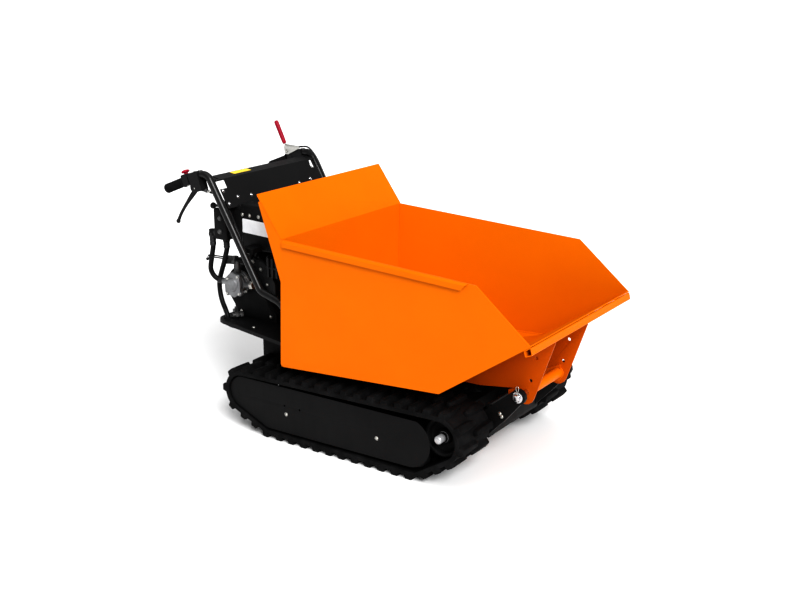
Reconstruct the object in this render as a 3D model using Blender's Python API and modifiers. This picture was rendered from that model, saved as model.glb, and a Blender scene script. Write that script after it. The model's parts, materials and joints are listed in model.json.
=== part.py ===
"""Rubber tracked mini dumper with a hydraulic tipping skip.

Metres, +Z up, +X forward (the way the skip tips), +Y to the machine's left.
Places are written from the foot of the skip's rear wall fold: x = 0 there, y = 0 in the middle
of the machine, and z = 0 is a little above the ground, which is at GROUND. The whole model hangs
on one empty, which moves it so that the origin lies on the ground under the middle of the machine.
"""
from math import acos, asin, atan2, ceil, cos, degrees, hypot, pi, radians, sin

import bmesh
import bpy
from mathutils import Matrix, Vector

# Fits
GAP = 0.0003              # between pieces that touch
RUNNING = 0.0006          # round a pin or a shaft that turns

GROUND = -0.018

# Skip, side view
SKIP_WIDTH = 0.650
SKIP_SHEET = 0.004
SKIP_FLOOR_REAR = (-0.014, 0.233)
SKIP_FLOOR_FRONT = (0.583, 0.271)
SKIP_LIP = (0.877, 0.472)
SKIP_RIM_FRONT = (0.700, 0.618)
SKIP_FOLD = (0.000, 0.651)
SKIP_BACK_TOP = (-0.093, 0.780)
SKIP_GUSSET_FOOT = (-0.004, 0.515)
SKIP_CORNER = 0.010       # radius of the rear bottom corner
HEM_DROP = 0.021
HEM_OUT = 0.009
HEM_SHEET = 0.003
LIP_TUBE = 0.0255         # along the slope
LIP_TUBE_FRONT = 0.0235   # its nearly upright front face
LIP_TUBE_REAR = 0.0185
LIP_TUBE_WALL = 0.0025

# Tipping gear
PIVOT = (0.752, 0.244)
WEB_MIDDLE = 0.105        # sideways to the middle of a web plate
WEB_SHEET = 0.006
WEB_REAR = 0.240
WEB_TOP_FRONT = 0.838     # where the plates' front edge meets the slope
WEB_NOSE = (0.8428, 0.416)
WEB_RIB = 0.030           # height of the ribs under the floor
WEB_HOLES = ((0.784, 0.358), (0.767, 0.284))
WEB_HOLE_RADIUS = 0.0062
LOBE = (0.7495, 0.2365)
LOBE_RADIUS = 0.0305
LOBE_REAR = (0.594, 0.2333)
DOUBLER_SHEET = 0.007
SLEEVE_RADIUS = 0.016
PIN_RADIUS = 0.010
LUG_MIDDLE = 0.150
LUG_SHEET = 0.014
LUG_RADIUS = 0.024
PIN_WASHER = 0.0175
CYLINDER_FOOT = (0.220, 0.090)
CLEVIS = (0.610, 0.222)
CLEVIS_EAR = 0.017        # radius of the ears on the skip
EYE_RADIUS = 0.014
EYE_WIDTH = 0.030
EAR_SHEET = 0.006
BARREL_RADIUS = 0.026
BARREL_LENGTH = 0.325
ROD_RADIUS = 0.0125

# Undercarriage
TRACK_WIDTH = 0.180
TRACK_MIDDLE = 0.258      # sideways to the middle of a track
BELT = 0.014
TREAD = 0.014
LINK_COUNT = 38
GUIDE_WIDTH = 0.024
GUIDE_HEIGHT = 0.012
SPROCKET = (-0.1655, GROUND + 0.135, 0.058)     # x, z and belt radius
IDLER = (0.590, GROUND + 0.150, 0.063)
ROLLER_RADIUS = 0.028
ROLLER_PLACES = (-0.058, 0.225, 0.504)
ROLLER_Z = GROUND + TREAD + BELT + ROLLER_RADIUS
ROLLER_SLACK = 0.0038     # chords cut deeper where the belt turns up at the end rollers
WHEEL_SLACK = 0.0022      # chords of the belt cut into its round
RIM_INNER = 0.017
RIM_OUTER = 0.058
TOOTH_COUNT = 7
TOOTH_DEPTH = 0.016
AXLE_RADIUS = 0.008
IDLER_AXLE_RADIUS = 0.011
BEAM_SHEET = 0.006
BEAM_OFFSET = 0.066       # from the middle of the track in to the beam plate
BEAM_FOOT = GROUND + 0.046
BEAM_TOP = GROUND + 0.166
COVER_SHEET = 0.003
COVER_OFFSET = 0.080      # from the middle of the track out to the cover's inner face
COVER_FRONT = (0.4855, GROUND + 0.119, 0.079)   # x, z and radius of its front end
SHAFT_RADIUS = 0.014

# Chassis
RAIL_MIDDLE = 0.138
RAIL_WIDTH = 0.030
RAIL_FOOT = 0.090
RAIL_TOP = 0.145
RAIL_REAR = -0.205
CROSS_PLATE_X = 0.655
CROSS_PLATE_SHEET = 0.008
CROSS_PLATE_TOP = 0.200
CROSS_TUBES = (0.170, 0.500)
CROSS_TUBE = 0.040
CROSS_TUBE_Z = 0.112
DECK_REAR = -0.385
DECK_FRONT = -0.028
DECK_REAR_HALF = 0.2216
DECK_FRONT_HALF = 0.2970
DECK_TOP = 0.302
DECK_SHEET = 0.004
DECK_FLANGE = 0.009
DECK_CORNER = 0.045
SIDE_PLATE_MIDDLE = 0.160
SIDE_PLATE_SHEET = 0.005
SIDE_PLATE_EDGE = ((-0.243, 0.288), (-0.2265, 0.242), (-0.203, 0.180), (-0.170, RAIL_FOOT + 0.004))
GEARBOX_REAR = -0.285
GEARBOX_FRONT = -0.100
GEARBOX_WIDTH = 0.180
GEARBOX_FOOT = GROUND + 0.062
GEARBOX_TOP = 0.230
SEAM_HEIGHT = 0.006       # the flange where the two halves of the gearbox meet
SEAM_WIDTH = 0.010

# Engine and pump
CRANK = (-0.325, 0.418)
ENGINE_SIDE = 0.124       # right face of the crankcase, from the middle
ENGINE_LEFT = 0.090
CASE_WIDTH = 0.032
CASE_RADIUS = 0.058
CASE_FOOT = (-0.204, 0.181)
CASE_FOOT_RADIUS = 0.032
CASE_SHOULDER = -0.331     # where the case's rear edge meets the deck
PUMP_AXIS = (-0.3195, 0.4255)
PUMP_BODY_RADIUS = 0.040
PUMP_BODY_LENGTH = 0.034
PUMP_COVER_WIDTH = 0.070
PUMP_COVER_HEIGHT = 0.089
PUMP_COVER_SHEET = 0.016

# Operator end
BAR_RADIUS = 0.0125
BAR_MIDDLE = 0.265
BAR_TIP = (-0.528, 0.7433)
BAR_TOP = (-0.354, 0.8130)
BAR_KNEE = (-0.140, 0.447)
BAR_HEEL = (-0.052, 0.421)
BAR_FOOT_MIDDLE = 0.235
BAR_BEND = 0.034
GRIP_LENGTH = 0.0805
GRIP_RADIUS = 0.0160
GRIP_WALL = 0.0035
CONSOLE_SHEET = 0.003
CONSOLE_BACK = (-0.369, 0.795)
CONSOLE_FOLD = (-0.325, 0.789)
CONSOLE_FOOT = (-0.277, 0.700)
WINDOW_WIDTH = 0.034      # at each end of the console, from the bar inwards
WINDOW_FOOT = 0.760
STEER_PIVOT = (-0.399, 0.758)
STOP_ALONG = 0.0955       # from the bar's tip to the stop button
PERCH_ALONG = 0.1353      # from the bar's tip to the middle of the lever perch
CLUTCH_ALONG = 0.1015     # to the middle of the clutch clamp

REAR_REACH = 0.01595      # grips, behind the tips of the bars
FRONT_REACH = 0.0056      # lip tube, ahead of the lip
MIDDLE_X = (BAR_TIP[0] - REAR_REACH + SKIP_LIP[0] + FRONT_REACH) / 2

bpy.ops.object.select_all(action="DESELECT")
for old in list(bpy.data.objects):
    bpy.data.objects.remove(old, do_unlink=True)

parts = bpy.data.collections.new("mini_dumper")
cutters = bpy.data.collections.new("cutters")
for group in (parts, cutters):
    bpy.context.scene.collection.children.link(group)


def material(name, colour, roughness, metallic=0.0):
    """A plain Principled material."""
    made = bpy.data.materials.new(name)
    made.use_nodes = True
    shader = made.node_tree.nodes["Principled BSDF"]
    shader.inputs["Base Color"].default_value = (*colour, 1.0)
    shader.inputs["Roughness"].default_value = roughness
    shader.inputs["Metallic"].default_value = metallic
    return made


ORANGE = material("orange_paint", (0.90, 0.17, 0.004), 0.40)
BLACK = material("black_paint", (0.012, 0.012, 0.013), 0.42)
RUBBER = material("rubber", (0.022, 0.022, 0.023), 0.85)
PLASTIC = material("black_plastic", (0.014, 0.014, 0.014), 0.55)
RED = material("red_plastic", (0.60, 0.005, 0.03), 0.35)
ZINC = material("zinc_steel", (0.56, 0.56, 0.54), 0.35, 1.0)
CAST = material("cast_aluminium", (0.45, 0.46, 0.46), 0.50, 0.8)
CHROME = material("polished_steel", (0.72, 0.72, 0.73), 0.18, 1.0)
DARK_CAST = material("dark_casting", (0.045, 0.046, 0.048), 0.55, 0.4)

origin = bpy.data.objects.new("origin", None)
origin.location = (-MIDDLE_X, 0.0, -GROUND)
parts.objects.link(origin)


def axis_empty(name, place, parent=None):
    """An empty on a joint's axis, which the moving pieces hang on."""
    made = bpy.data.objects.new(name, None)
    parts.objects.link(made)
    above = parent or origin
    made.parent = above
    made["place"] = place
    base = Vector(parent["place"]) if parent else Vector((0.0, 0.0, 0.0))
    made.location = Vector(place) - base
    return made


def hang(thing, paint, parent=None):
    """Give a finished piece its material and its parent, keeping it where it was modelled."""
    if paint:
        thing.data.materials.clear()
        thing.data.materials.append(paint)
    thing.parent = parent or origin
    if parent:
        thing.location = Vector(thing.location) - Vector(parent["place"])
    return thing


def new_mesh(name, bm, group=None):
    """An object from a bmesh."""
    bmesh.ops.recalc_face_normals(bm, faces=bm.faces)
    mesh = bpy.data.meshes.new(name)
    bm.to_mesh(mesh)
    bm.free()
    made = bpy.data.objects.new(name, mesh)
    (group or parts).objects.link(made)
    return made


def box(name, low, high, group=None, bevel=0.0, segments=2):
    """A box between two corners, with rounded edges where bevel is given."""
    low, high = Vector(low), Vector(high)
    bm = bmesh.new()
    bmesh.ops.create_cube(bm, size=1.0)
    bmesh.ops.scale(bm, vec=high - low, verts=bm.verts)
    made = new_mesh(name, bm, group)
    made.location = (low + high) / 2
    if bevel:
        round_off = made.modifiers.new("round", "BEVEL")
        round_off.width = bevel
        round_off.segments = segments
        round_off.limit_method = "ANGLE"
    return made


def rod(name, start, end, radius, group=None, sides=16, radius_end=None):
    """A round bar or a cone between two points."""
    start, end = Vector(start), Vector(end)
    along = end - start
    bm = bmesh.new()
    bmesh.ops.create_cone(bm, cap_ends=True, segments=sides, radius1=radius,
                          radius2=radius if radius_end is None else radius_end, depth=along.length)
    made = new_mesh(name, bm, group)
    made.location = (start + end) / 2
    made.rotation_mode = "QUATERNION"
    made.rotation_quaternion = Vector((0, 0, 1)).rotation_difference(along.normalized())
    return made


def inside_out(thing):
    """Whether a piece's faces point inwards once its modifiers are worked out."""
    bpy.context.view_layer.update()
    seen = thing.evaluated_get(bpy.context.evaluated_depsgraph_get())
    bm = bmesh.new()
    bm.from_mesh(seen.to_mesh())
    volume = bm.calc_volume(signed=True)
    bm.free()
    seen.to_mesh_clear()
    return volume < 0


def turned(name, profile, start, direction, steps=24, group=None):
    """A turned piece: (distance along the axis, radius) pairs, spun round the axis.

    The profile closes on the axis where its ends have no radius, and on itself otherwise.
    """
    bm = bmesh.new()
    corners = [bm.verts.new((r, 0.0, -a)) for a, r in profile]
    for first, second in zip(corners, corners[1:]):
        bm.edges.new((first, second))
    if profile[0][1] > 0 or profile[-1][1] > 0:
        bm.edges.new((corners[-1], corners[0]))
    mesh = bpy.data.meshes.new(name)
    bm.to_mesh(mesh)
    bm.free()
    made = bpy.data.objects.new(name, mesh)
    (group or parts).objects.link(made)
    spin = made.modifiers.new("spin", "SCREW")
    spin.steps = steps
    spin.render_steps = steps
    spin.use_merge_vertices = True
    spin.merge_threshold = 0.00005
    spin.use_normal_calculate = True
    spin.use_normal_flip = inside_out(made)
    made.location = start
    made.rotation_mode = "QUATERNION"
    made.rotation_quaternion = Vector((0, 0, -1)).rotation_difference(Vector(direction).normalized())
    return made


def rounded(corners, radii, step=30.0):
    """An outline with its corners rounded by arcs. radii is one value or one for each corner."""
    count = len(corners)
    if not hasattr(radii, "__len__"):
        radii = [radii] * count
    points = []
    for index, corner in enumerate(corners):
        here = Vector(corner)
        radius = radii[index]
        if not radius:
            points.append(tuple(here))
            continue
        back = (Vector(corners[index - 1]) - here).normalized()
        ahead = (Vector(corners[(index + 1) % count]) - here).normalized()
        opening = back.angle(ahead)
        reach = radius / tan_half(opening)
        centre = here + (back + ahead).normalized() * (radius / sin(opening / 2))
        first = here + back * reach - centre
        last = here + ahead * reach - centre
        sweep = signed_angle(first, last)
        pieces = max(1, ceil(abs(degrees(sweep)) / step))
        for k in range(pieces + 1):
            turn = Matrix.Rotation(sweep * k / pieces, 2)
            points.append(tuple(centre + turn @ first))
    return points


def tan_half(angle):
    """Tangent of half an angle."""
    return sin(angle / 2) / cos(angle / 2)


def signed_angle(first, last):
    """Angle from one flat vector to another, positive anticlockwise."""
    return atan2(first.x * last.y - first.y * last.x, first.dot(last))


def arc(centre, radius, start, end, pieces=8):
    """Points on an arc, in degrees."""
    return [(centre[0] + radius * cos(radians(start + (end - start) * k / pieces)),
             centre[1] + radius * sin(radians(start + (end - start) * k / pieces)))
            for k in range(pieces + 1)]


def outline_curve(name, outline, thickness, group=None, holes=()):
    """A flat 2D curve, filled, with its thickness."""
    flat = bpy.data.curves.new(name, "CURVE")
    flat.dimensions = "2D"
    flat.fill_mode = "BOTH"
    flat.extrude = thickness / 2
    for loop in (outline, *holes):
        spline = flat.splines.new("POLY")
        spline.points.add(len(loop) - 1)
        for point, (u, v) in zip(spline.points, loop):
            point.co = (u, v, 0.0, 1.0)
        spline.use_cyclic_u = True
    made = bpy.data.objects.new(name, flat)
    (group or parts).objects.link(made)
    return made


def as_mesh(thing):
    """The mesh object that stands for a curve object, with its caps welded."""
    bpy.context.view_layer.update()
    seen = thing.evaluated_get(bpy.context.evaluated_depsgraph_get())
    mesh = bpy.data.meshes.new_from_object(seen)
    bm = bmesh.new()
    bm.from_mesh(mesh)
    bmesh.ops.remove_doubles(bm, verts=bm.verts, dist=0.00001)
    bmesh.ops.recalc_face_normals(bm, faces=bm.faces)
    bm.to_mesh(mesh)
    bm.free()
    name = thing.name
    group = thing.users_collection[0]
    matrix = thing.matrix_world.copy()
    bpy.data.objects.remove(thing, do_unlink=True)
    made = bpy.data.objects.new(name, mesh)
    group.objects.link(made)
    made.matrix_world = matrix
    return made


def side_plate(name, outline, thickness, middle, group=None, holes=()):
    """A flat plate in side view: outline in (x, z), its middle at y = middle."""
    made = outline_curve(name, outline, thickness, group, holes)
    made.rotation_euler = (pi / 2, 0.0, 0.0)
    made.location = (0.0, middle, 0.0)
    return as_mesh(made)


def level_plate(name, outline, thickness, height, group=None, holes=()):
    """A flat plate seen from above: outline in (x, y), its middle at z = height."""
    made = outline_curve(name, outline, thickness, group, holes)
    made.location = (0.0, 0.0, height)
    return as_mesh(made)


def tube(name, points, radius, sides=8, group=None):
    """A round tube or cord along points, as a curve with filled caps."""
    line = bpy.data.curves.new(name, "CURVE")
    line.dimensions = "3D"
    line.bevel_depth = radius
    line.bevel_resolution = sides // 2 - 2
    line.use_fill_caps = True
    spline = line.splines.new("POLY")
    spline.points.add(len(points) - 1)
    for point, place in zip(spline.points, points):
        point.co = (*place, 1.0)
    made = bpy.data.objects.new(name, line)
    (group or parts).objects.link(made)
    return made


def bent(corners, radius, step=24.0):
    """Points of a bent bar: straight runs joined by arcs of one radius, in space."""
    points = [Vector(corners[0])]
    for before, here, after in zip(corners, corners[1:], corners[2:]):
        before, here, after = Vector(before), Vector(here), Vector(after)
        back = (before - here).normalized()
        ahead = (after - here).normalized()
        opening = back.angle(ahead)
        centre = here + (back + ahead).normalized() * (radius / sin(opening / 2))
        first = here + back * (radius / tan_half(opening)) - centre
        last = here + ahead * (radius / tan_half(opening)) - centre
        normal = first.cross(last).normalized()
        sweep = first.angle(last)
        pieces = max(1, ceil(degrees(sweep) / step))
        for k in range(pieces + 1):
            points.append(centre + Matrix.Rotation(sweep * k / pieces, 3, normal) @ first)
    points.append(Vector(corners[-1]))
    return [tuple(point) for point in points]


def smooth(route, spacing):
    """Points of a smooth curve (Catmull-Rom) through a route, about one each spacing."""
    knots = [Vector(route[0]) * 2 - Vector(route[1]), *[Vector(p) for p in route],
             Vector(route[-1]) * 2 - Vector(route[-2])]
    points = [Vector(route[0])]
    for a, b, c, d in zip(knots, knots[1:], knots[2:], knots[3:]):
        pieces = max(1, round((c - b).length / spacing))
        for k in range(1, pieces + 1):
            t = k / pieces
            points.append(0.5 * (2 * b + (c - a) * t + (2 * a - 5 * b + 4 * c - d) * t * t
                                 + (3 * b - a - 3 * c + d) * t ** 3))
    return [tuple(point) for point in points]


def boolean(thing, tool, operation):
    """Add a Boolean to a piece. The tool becomes a hidden guide."""
    step = thing.modifiers.new(operation.lower(), "BOOLEAN")
    step.object = tool
    step.operation = operation
    step.solver = "EXACT"
    for group in tuple(tool.users_collection):
        group.objects.unlink(tool)
    cutters.objects.link(tool)
    tool.hide_render = True
    tool.display_type = "WIRE"
    if tool.parent is None:
        tool.parent = thing.parent or origin
    return thing


def cut(thing, *tools):
    """Cut tools out of a piece."""
    for tool in tools:
        boolean(thing, tool, "DIFFERENCE")
    return thing


def weld(thing, *tools):
    """Join tools to a piece."""
    for tool in tools:
        boolean(thing, tool, "UNION")
    return thing


def shade(thing):
    """Smooth the round faces and keep the edges."""
    if thing.type == "MESH":
        thing.data.shade_smooth()
        thing.data.set_sharp_from_angle(angle=radians(35))
    return thing


def at(point, y):
    """A place in space from a side view point and a distance sideways."""
    return Vector((point[0], y, point[1]))


SIDES = (("right", -1), ("left", 1))


# Belts and wheels
def belt_loop():
    """The belt's inner line round its wheels: pieces of (length, function of distance)."""
    ground = GROUND + TREAD + BELT
    wheels = [SPROCKET]
    for place in (ROLLER_PLACES[0], ROLLER_PLACES[-1]):
        wheels.append((place, ground + ROLLER_RADIUS, ROLLER_RADIUS))
    wheels.append(IDLER)
    heads = []
    for (ax, az, ar), (bx, bz, br) in zip(wheels, wheels[1:] + wheels[:1]):
        apart = hypot(bx - ax, bz - az)
        heads.append((atan2(bz - az, bx - ax) + asin((ar - br) / apart), apart * cos(asin((ar - br) / apart))))
    pieces = []
    for index, (cx, cz, r) in enumerate(wheels):
        head_in = heads[index - 1][0]
        head_out, run = heads[index]
        sweep = (head_out - head_in) % (2 * pi)
        pieces.append((r * sweep, "arc", (cx, cz, r, head_in)))
        pieces.append((run, "run", (cx + r * sin(head_out), cz - r * cos(head_out), head_out)))
    return pieces


def on_belt(pieces, distance):
    """Place (x, z) and outward direction on the belt's inner line."""
    for length, kind, values in pieces:
        if distance <= length:
            if kind == "arc":
                cx, cz, r, head = values
                head += distance / r
                out = Vector((sin(head), -cos(head)))
                return Vector((cx, cz)) + out * r, out
            x, z, head = values
            out = Vector((sin(head), -cos(head)))
            return Vector((x, z)) + Vector((cos(head), sin(head))) * distance, out
        distance -= length
    return on_belt(pieces, distance)


def raise_blocks(bm, faces, height, shrink):
    """Raise a tapered block on each face, and return nothing."""
    grown = bmesh.ops.extrude_discrete_faces(bm, faces=faces)["faces"]
    for face in grown:
        face.normal_update()
        middle = face.calc_center_median()
        lift = face.normal * height
        for vert in face.verts:
            vert.co = middle + (vert.co - middle) * shrink + lift


def track(side, sign):
    """One rubber belt: a band with staggered tread blocks outside and guide horns inside."""
    pieces = belt_loop()
    length = sum(piece[0] for piece in pieces)
    half = TRACK_WIDTH / 2
    guide = GUIDE_WIDTH / 2
    lanes = (-half, -guide, guide, half)
    bm = bmesh.new()
    rings = []
    for k in range(2 * LINK_COUNT):
        place, out = on_belt(pieces, length * k / (2 * LINK_COUNT))
        inner = [bm.verts.new((place.x, lane, place.y)) for lane in lanes]
        far = place + out * BELT
        outer = [bm.verts.new((far.x, lane, far.y)) for lane in lanes]
        rings.append((inner, outer))
    treads = []
    horns = []
    for k, (inner, outer) in enumerate(rings):
        inner_next, outer_next = rings[(k + 1) % len(rings)]
        for lane in range(3):
            face = bm.faces.new((outer[lane], outer[lane + 1], outer_next[lane + 1], outer_next[lane]))
            if lane == (0 if k % 2 else 2):
                treads.append(face)
            face = bm.faces.new((inner[lane + 1], inner[lane], inner_next[lane], inner_next[lane + 1]))
            if lane == 1 and k % 2:
                horns.append(face)
        bm.faces.new((outer[0], outer_next[0], inner_next[0], inner[0]))
        bm.faces.new((outer[3], inner[3], inner_next[3], outer_next[3]))
    bmesh.ops.recalc_face_normals(bm, faces=bm.faces)
    raise_blocks(bm, treads, TREAD, 0.80)
    raise_blocks(bm, horns, GUIDE_HEIGHT, 0.62)
    made = new_mesh(f"track_{side}", bm)
    made.location = (0.0, sign * TRACK_MIDDLE, 0.0)
    return hang(made, RUBBER)


def twin_rim(name, wheel, groove, bore, sign, sides):
    """A turned wheel with two rims and a groove for the guide horns, bored for its axle."""
    x, z, radius = wheel
    profile = [(-RIM_OUTER, bore), (-RIM_OUTER, radius), (-RIM_INNER - 0.002, radius), (-RIM_INNER, groove),
               (RIM_INNER, groove), (RIM_INNER + 0.002, radius), (RIM_OUTER, radius), (RIM_OUTER, bore)]
    return turned(name, profile, (x, sign * TRACK_MIDDLE, z), (0, 1, 0), sides)


def idler(side, sign):
    """The front wheel, dished on its outer face round the axle bolt."""
    x, z, radius = IDLER
    radius -= WHEEL_SLACK
    groove = IDLER[2] - GUIDE_HEIGHT - 0.006
    hub = IDLER_AXLE_RADIUS + 0.011
    bore = IDLER_AXLE_RADIUS + RUNNING
    dish = 0.022
    profile = [(-RIM_OUTER, bore), (-RIM_OUTER, radius - 0.004), (-RIM_OUTER + 0.004, radius),
               (-RIM_INNER - 0.002, radius), (-RIM_INNER, groove), (RIM_INNER, groove),
               (RIM_INNER + 0.002, radius), (RIM_OUTER - 0.003, radius), (RIM_OUTER, radius - 0.003),
               (RIM_OUTER, radius - 0.010), (RIM_OUTER - dish, radius - 0.016),
               (RIM_OUTER - dish, hub), (RIM_OUTER - 0.010, hub), (RIM_OUTER - 0.010, bore)]
    pivot = axis_empty(f"idler_axis_{side}", (x, sign * TRACK_MIDDLE, z))
    made = turned(f"idler_wheel_{side}", profile, (x, sign * TRACK_MIDDLE, z), (0, sign, 0), 16)
    return hang(shade(made), DARK_CAST, pivot)


def rollers(side, sign):
    """Three bottom rollers on their axle pins."""
    for number, place in enumerate(ROLLER_PLACES, 1):
        wheel = (place, ROLLER_Z, ROLLER_RADIUS - ROLLER_SLACK)
        pivot = axis_empty(f"roller_axis_{side}_{number}", (place, sign * TRACK_MIDDLE, wheel[1]))
        made = twin_rim(f"track_roller_{side}_{number}", wheel, ROLLER_RADIUS - GUIDE_HEIGHT - 0.002,
                        AXLE_RADIUS + RUNNING, sign, 10)
        hang(shade(made), DARK_CAST, pivot)


def toothed(radius, teeth, depth):
    """Outline of a toothed disc round (0, 0)."""
    points = []
    for tooth in range(teeth):
        middle = 360.0 * tooth / teeth
        share = 360.0 / teeth
        for part, reach in ((-0.36, radius - depth), (-0.17, radius), (0.17, radius), (0.36, radius - depth)):
            angle = radians(middle + part * share)
            points.append((reach * cos(angle), reach * sin(angle)))
    return points


def sprocket(side, sign):
    """The rear drive sprocket: two toothed discs, a hub and the half shaft to the gearbox."""
    x, z, radius = SPROCKET
    pivot = axis_empty(f"sprocket_axis_{side}", (x, sign * TRACK_MIDDLE, z))
    inner_end = GEARBOX_WIDTH / 2 + 0.012 + GAP
    made = rod(f"drive_sprocket_{side}", (x, sign * inner_end, z),
               (x, sign * (TRACK_MIDDLE - 0.030), z), SHAFT_RADIUS, sides=10)
    hub = rod(f"hub_{side}", (x, sign * (TRACK_MIDDLE - 0.040), z), (x, sign * (TRACK_MIDDLE + 0.040), z),
              SPROCKET[2] - GUIDE_HEIGHT - 0.012, cutters, 10)
    weld(made, hub)
    disc = 0.012
    for offset in (-1, 1):
        middle = sign * TRACK_MIDDLE + offset * (RIM_INNER + disc / 2)
        plate = outline_curve(f"disc_{side}_{offset}", toothed(radius - WHEEL_SLACK, TOOTH_COUNT, TOOTH_DEPTH),
                              disc, cutters)
        plate.rotation_euler = (pi / 2, 0.0, 0.0)
        plate.location = (x, middle, z)
        weld(made, as_mesh(plate))
    return hang(shade(made), DARK_CAST, pivot)


def cover(side, sign):
    """The black side cover inside the outer edge of the belt."""
    margin = 0.004
    length, _, (x, z, head) = belt_loop()[1]
    out = Vector((sin(head), -cos(head)))
    tangent = Vector((x, z)) - out * margin + Vector((cos(head), sin(head))) * length
    outline = arc(SPROCKET[:2], SPROCKET[2] - margin, 100, degrees(head) + 270, 8)
    outline += [tuple(tangent), (tangent.x + 0.020, GROUND + TREAD + BELT + margin + 0.0015)]
    outline += arc((COVER_FRONT[0], COVER_FRONT[1]), COVER_FRONT[2], -88, 68, 9)
    middle = sign * (TRACK_MIDDLE + COVER_OFFSET + COVER_SHEET / 2)
    made = side_plate(f"side_cover_{side}", outline, COVER_SHEET, middle)
    return hang(made, BLACK)


def beam(side, sign):
    """The beam inside the belt: a side plate, a top web and the axles of rollers and idler."""
    plate_y = TRACK_MIDDLE - BEAM_OFFSET - BEAM_SHEET / 2
    top = BEAM_TOP
    foot = BEAM_FOOT
    rear = SPROCKET[0] + SPROCKET[2] + 0.020
    outline = rounded([(rear, foot + 0.054), (ROLLER_PLACES[0] - 0.022, foot), (ROLLER_PLACES[-1] + 0.016, foot),
                       (IDLER[0] + 0.030, IDLER[1] - 0.030), (IDLER[0] + 0.030, IDLER[1] + 0.024),
                       (rear, top)], 0.012)
    made = side_plate(f"track_beam_{side}", outline, BEAM_SHEET, sign * plate_y)
    inner = sign * (plate_y - BEAM_SHEET / 4)
    outer = sign * (TRACK_MIDDLE + COVER_OFFSET - GAP)
    tools = []
    web_z = top - 0.010
    low = (rear + 0.012, min(inner, outer), web_z - 0.005)
    high = (IDLER[0] - IDLER[2] - 0.010, max(inner, outer), web_z)
    tools.append(box(f"web_{side}", low, high, cutters))
    for number, place in enumerate(ROLLER_PLACES, 1):
        tools.append(rod(f"pin_{side}_{number}", (place, inner, ROLLER_Z), (place, outer, ROLLER_Z), AXLE_RADIUS,
                         cutters, 8))
    bolt_end = sign * (TRACK_MIDDLE + RIM_OUTER - 0.006)
    tools.append(rod(f"idler_axle_{side}", at(IDLER, inner), at(IDLER, bolt_end), IDLER_AXLE_RADIUS, cutters, 10))
    tools.append(rod(f"idler_head_{side}", at(IDLER, sign * (TRACK_MIDDLE + RIM_OUTER - 0.0094)),
                     at(IDLER, sign * (TRACK_MIDDLE + RIM_OUTER - 0.001)), 0.017, cutters, 12))
    weld(made, *tools)
    return hang(made, BLACK)


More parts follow.
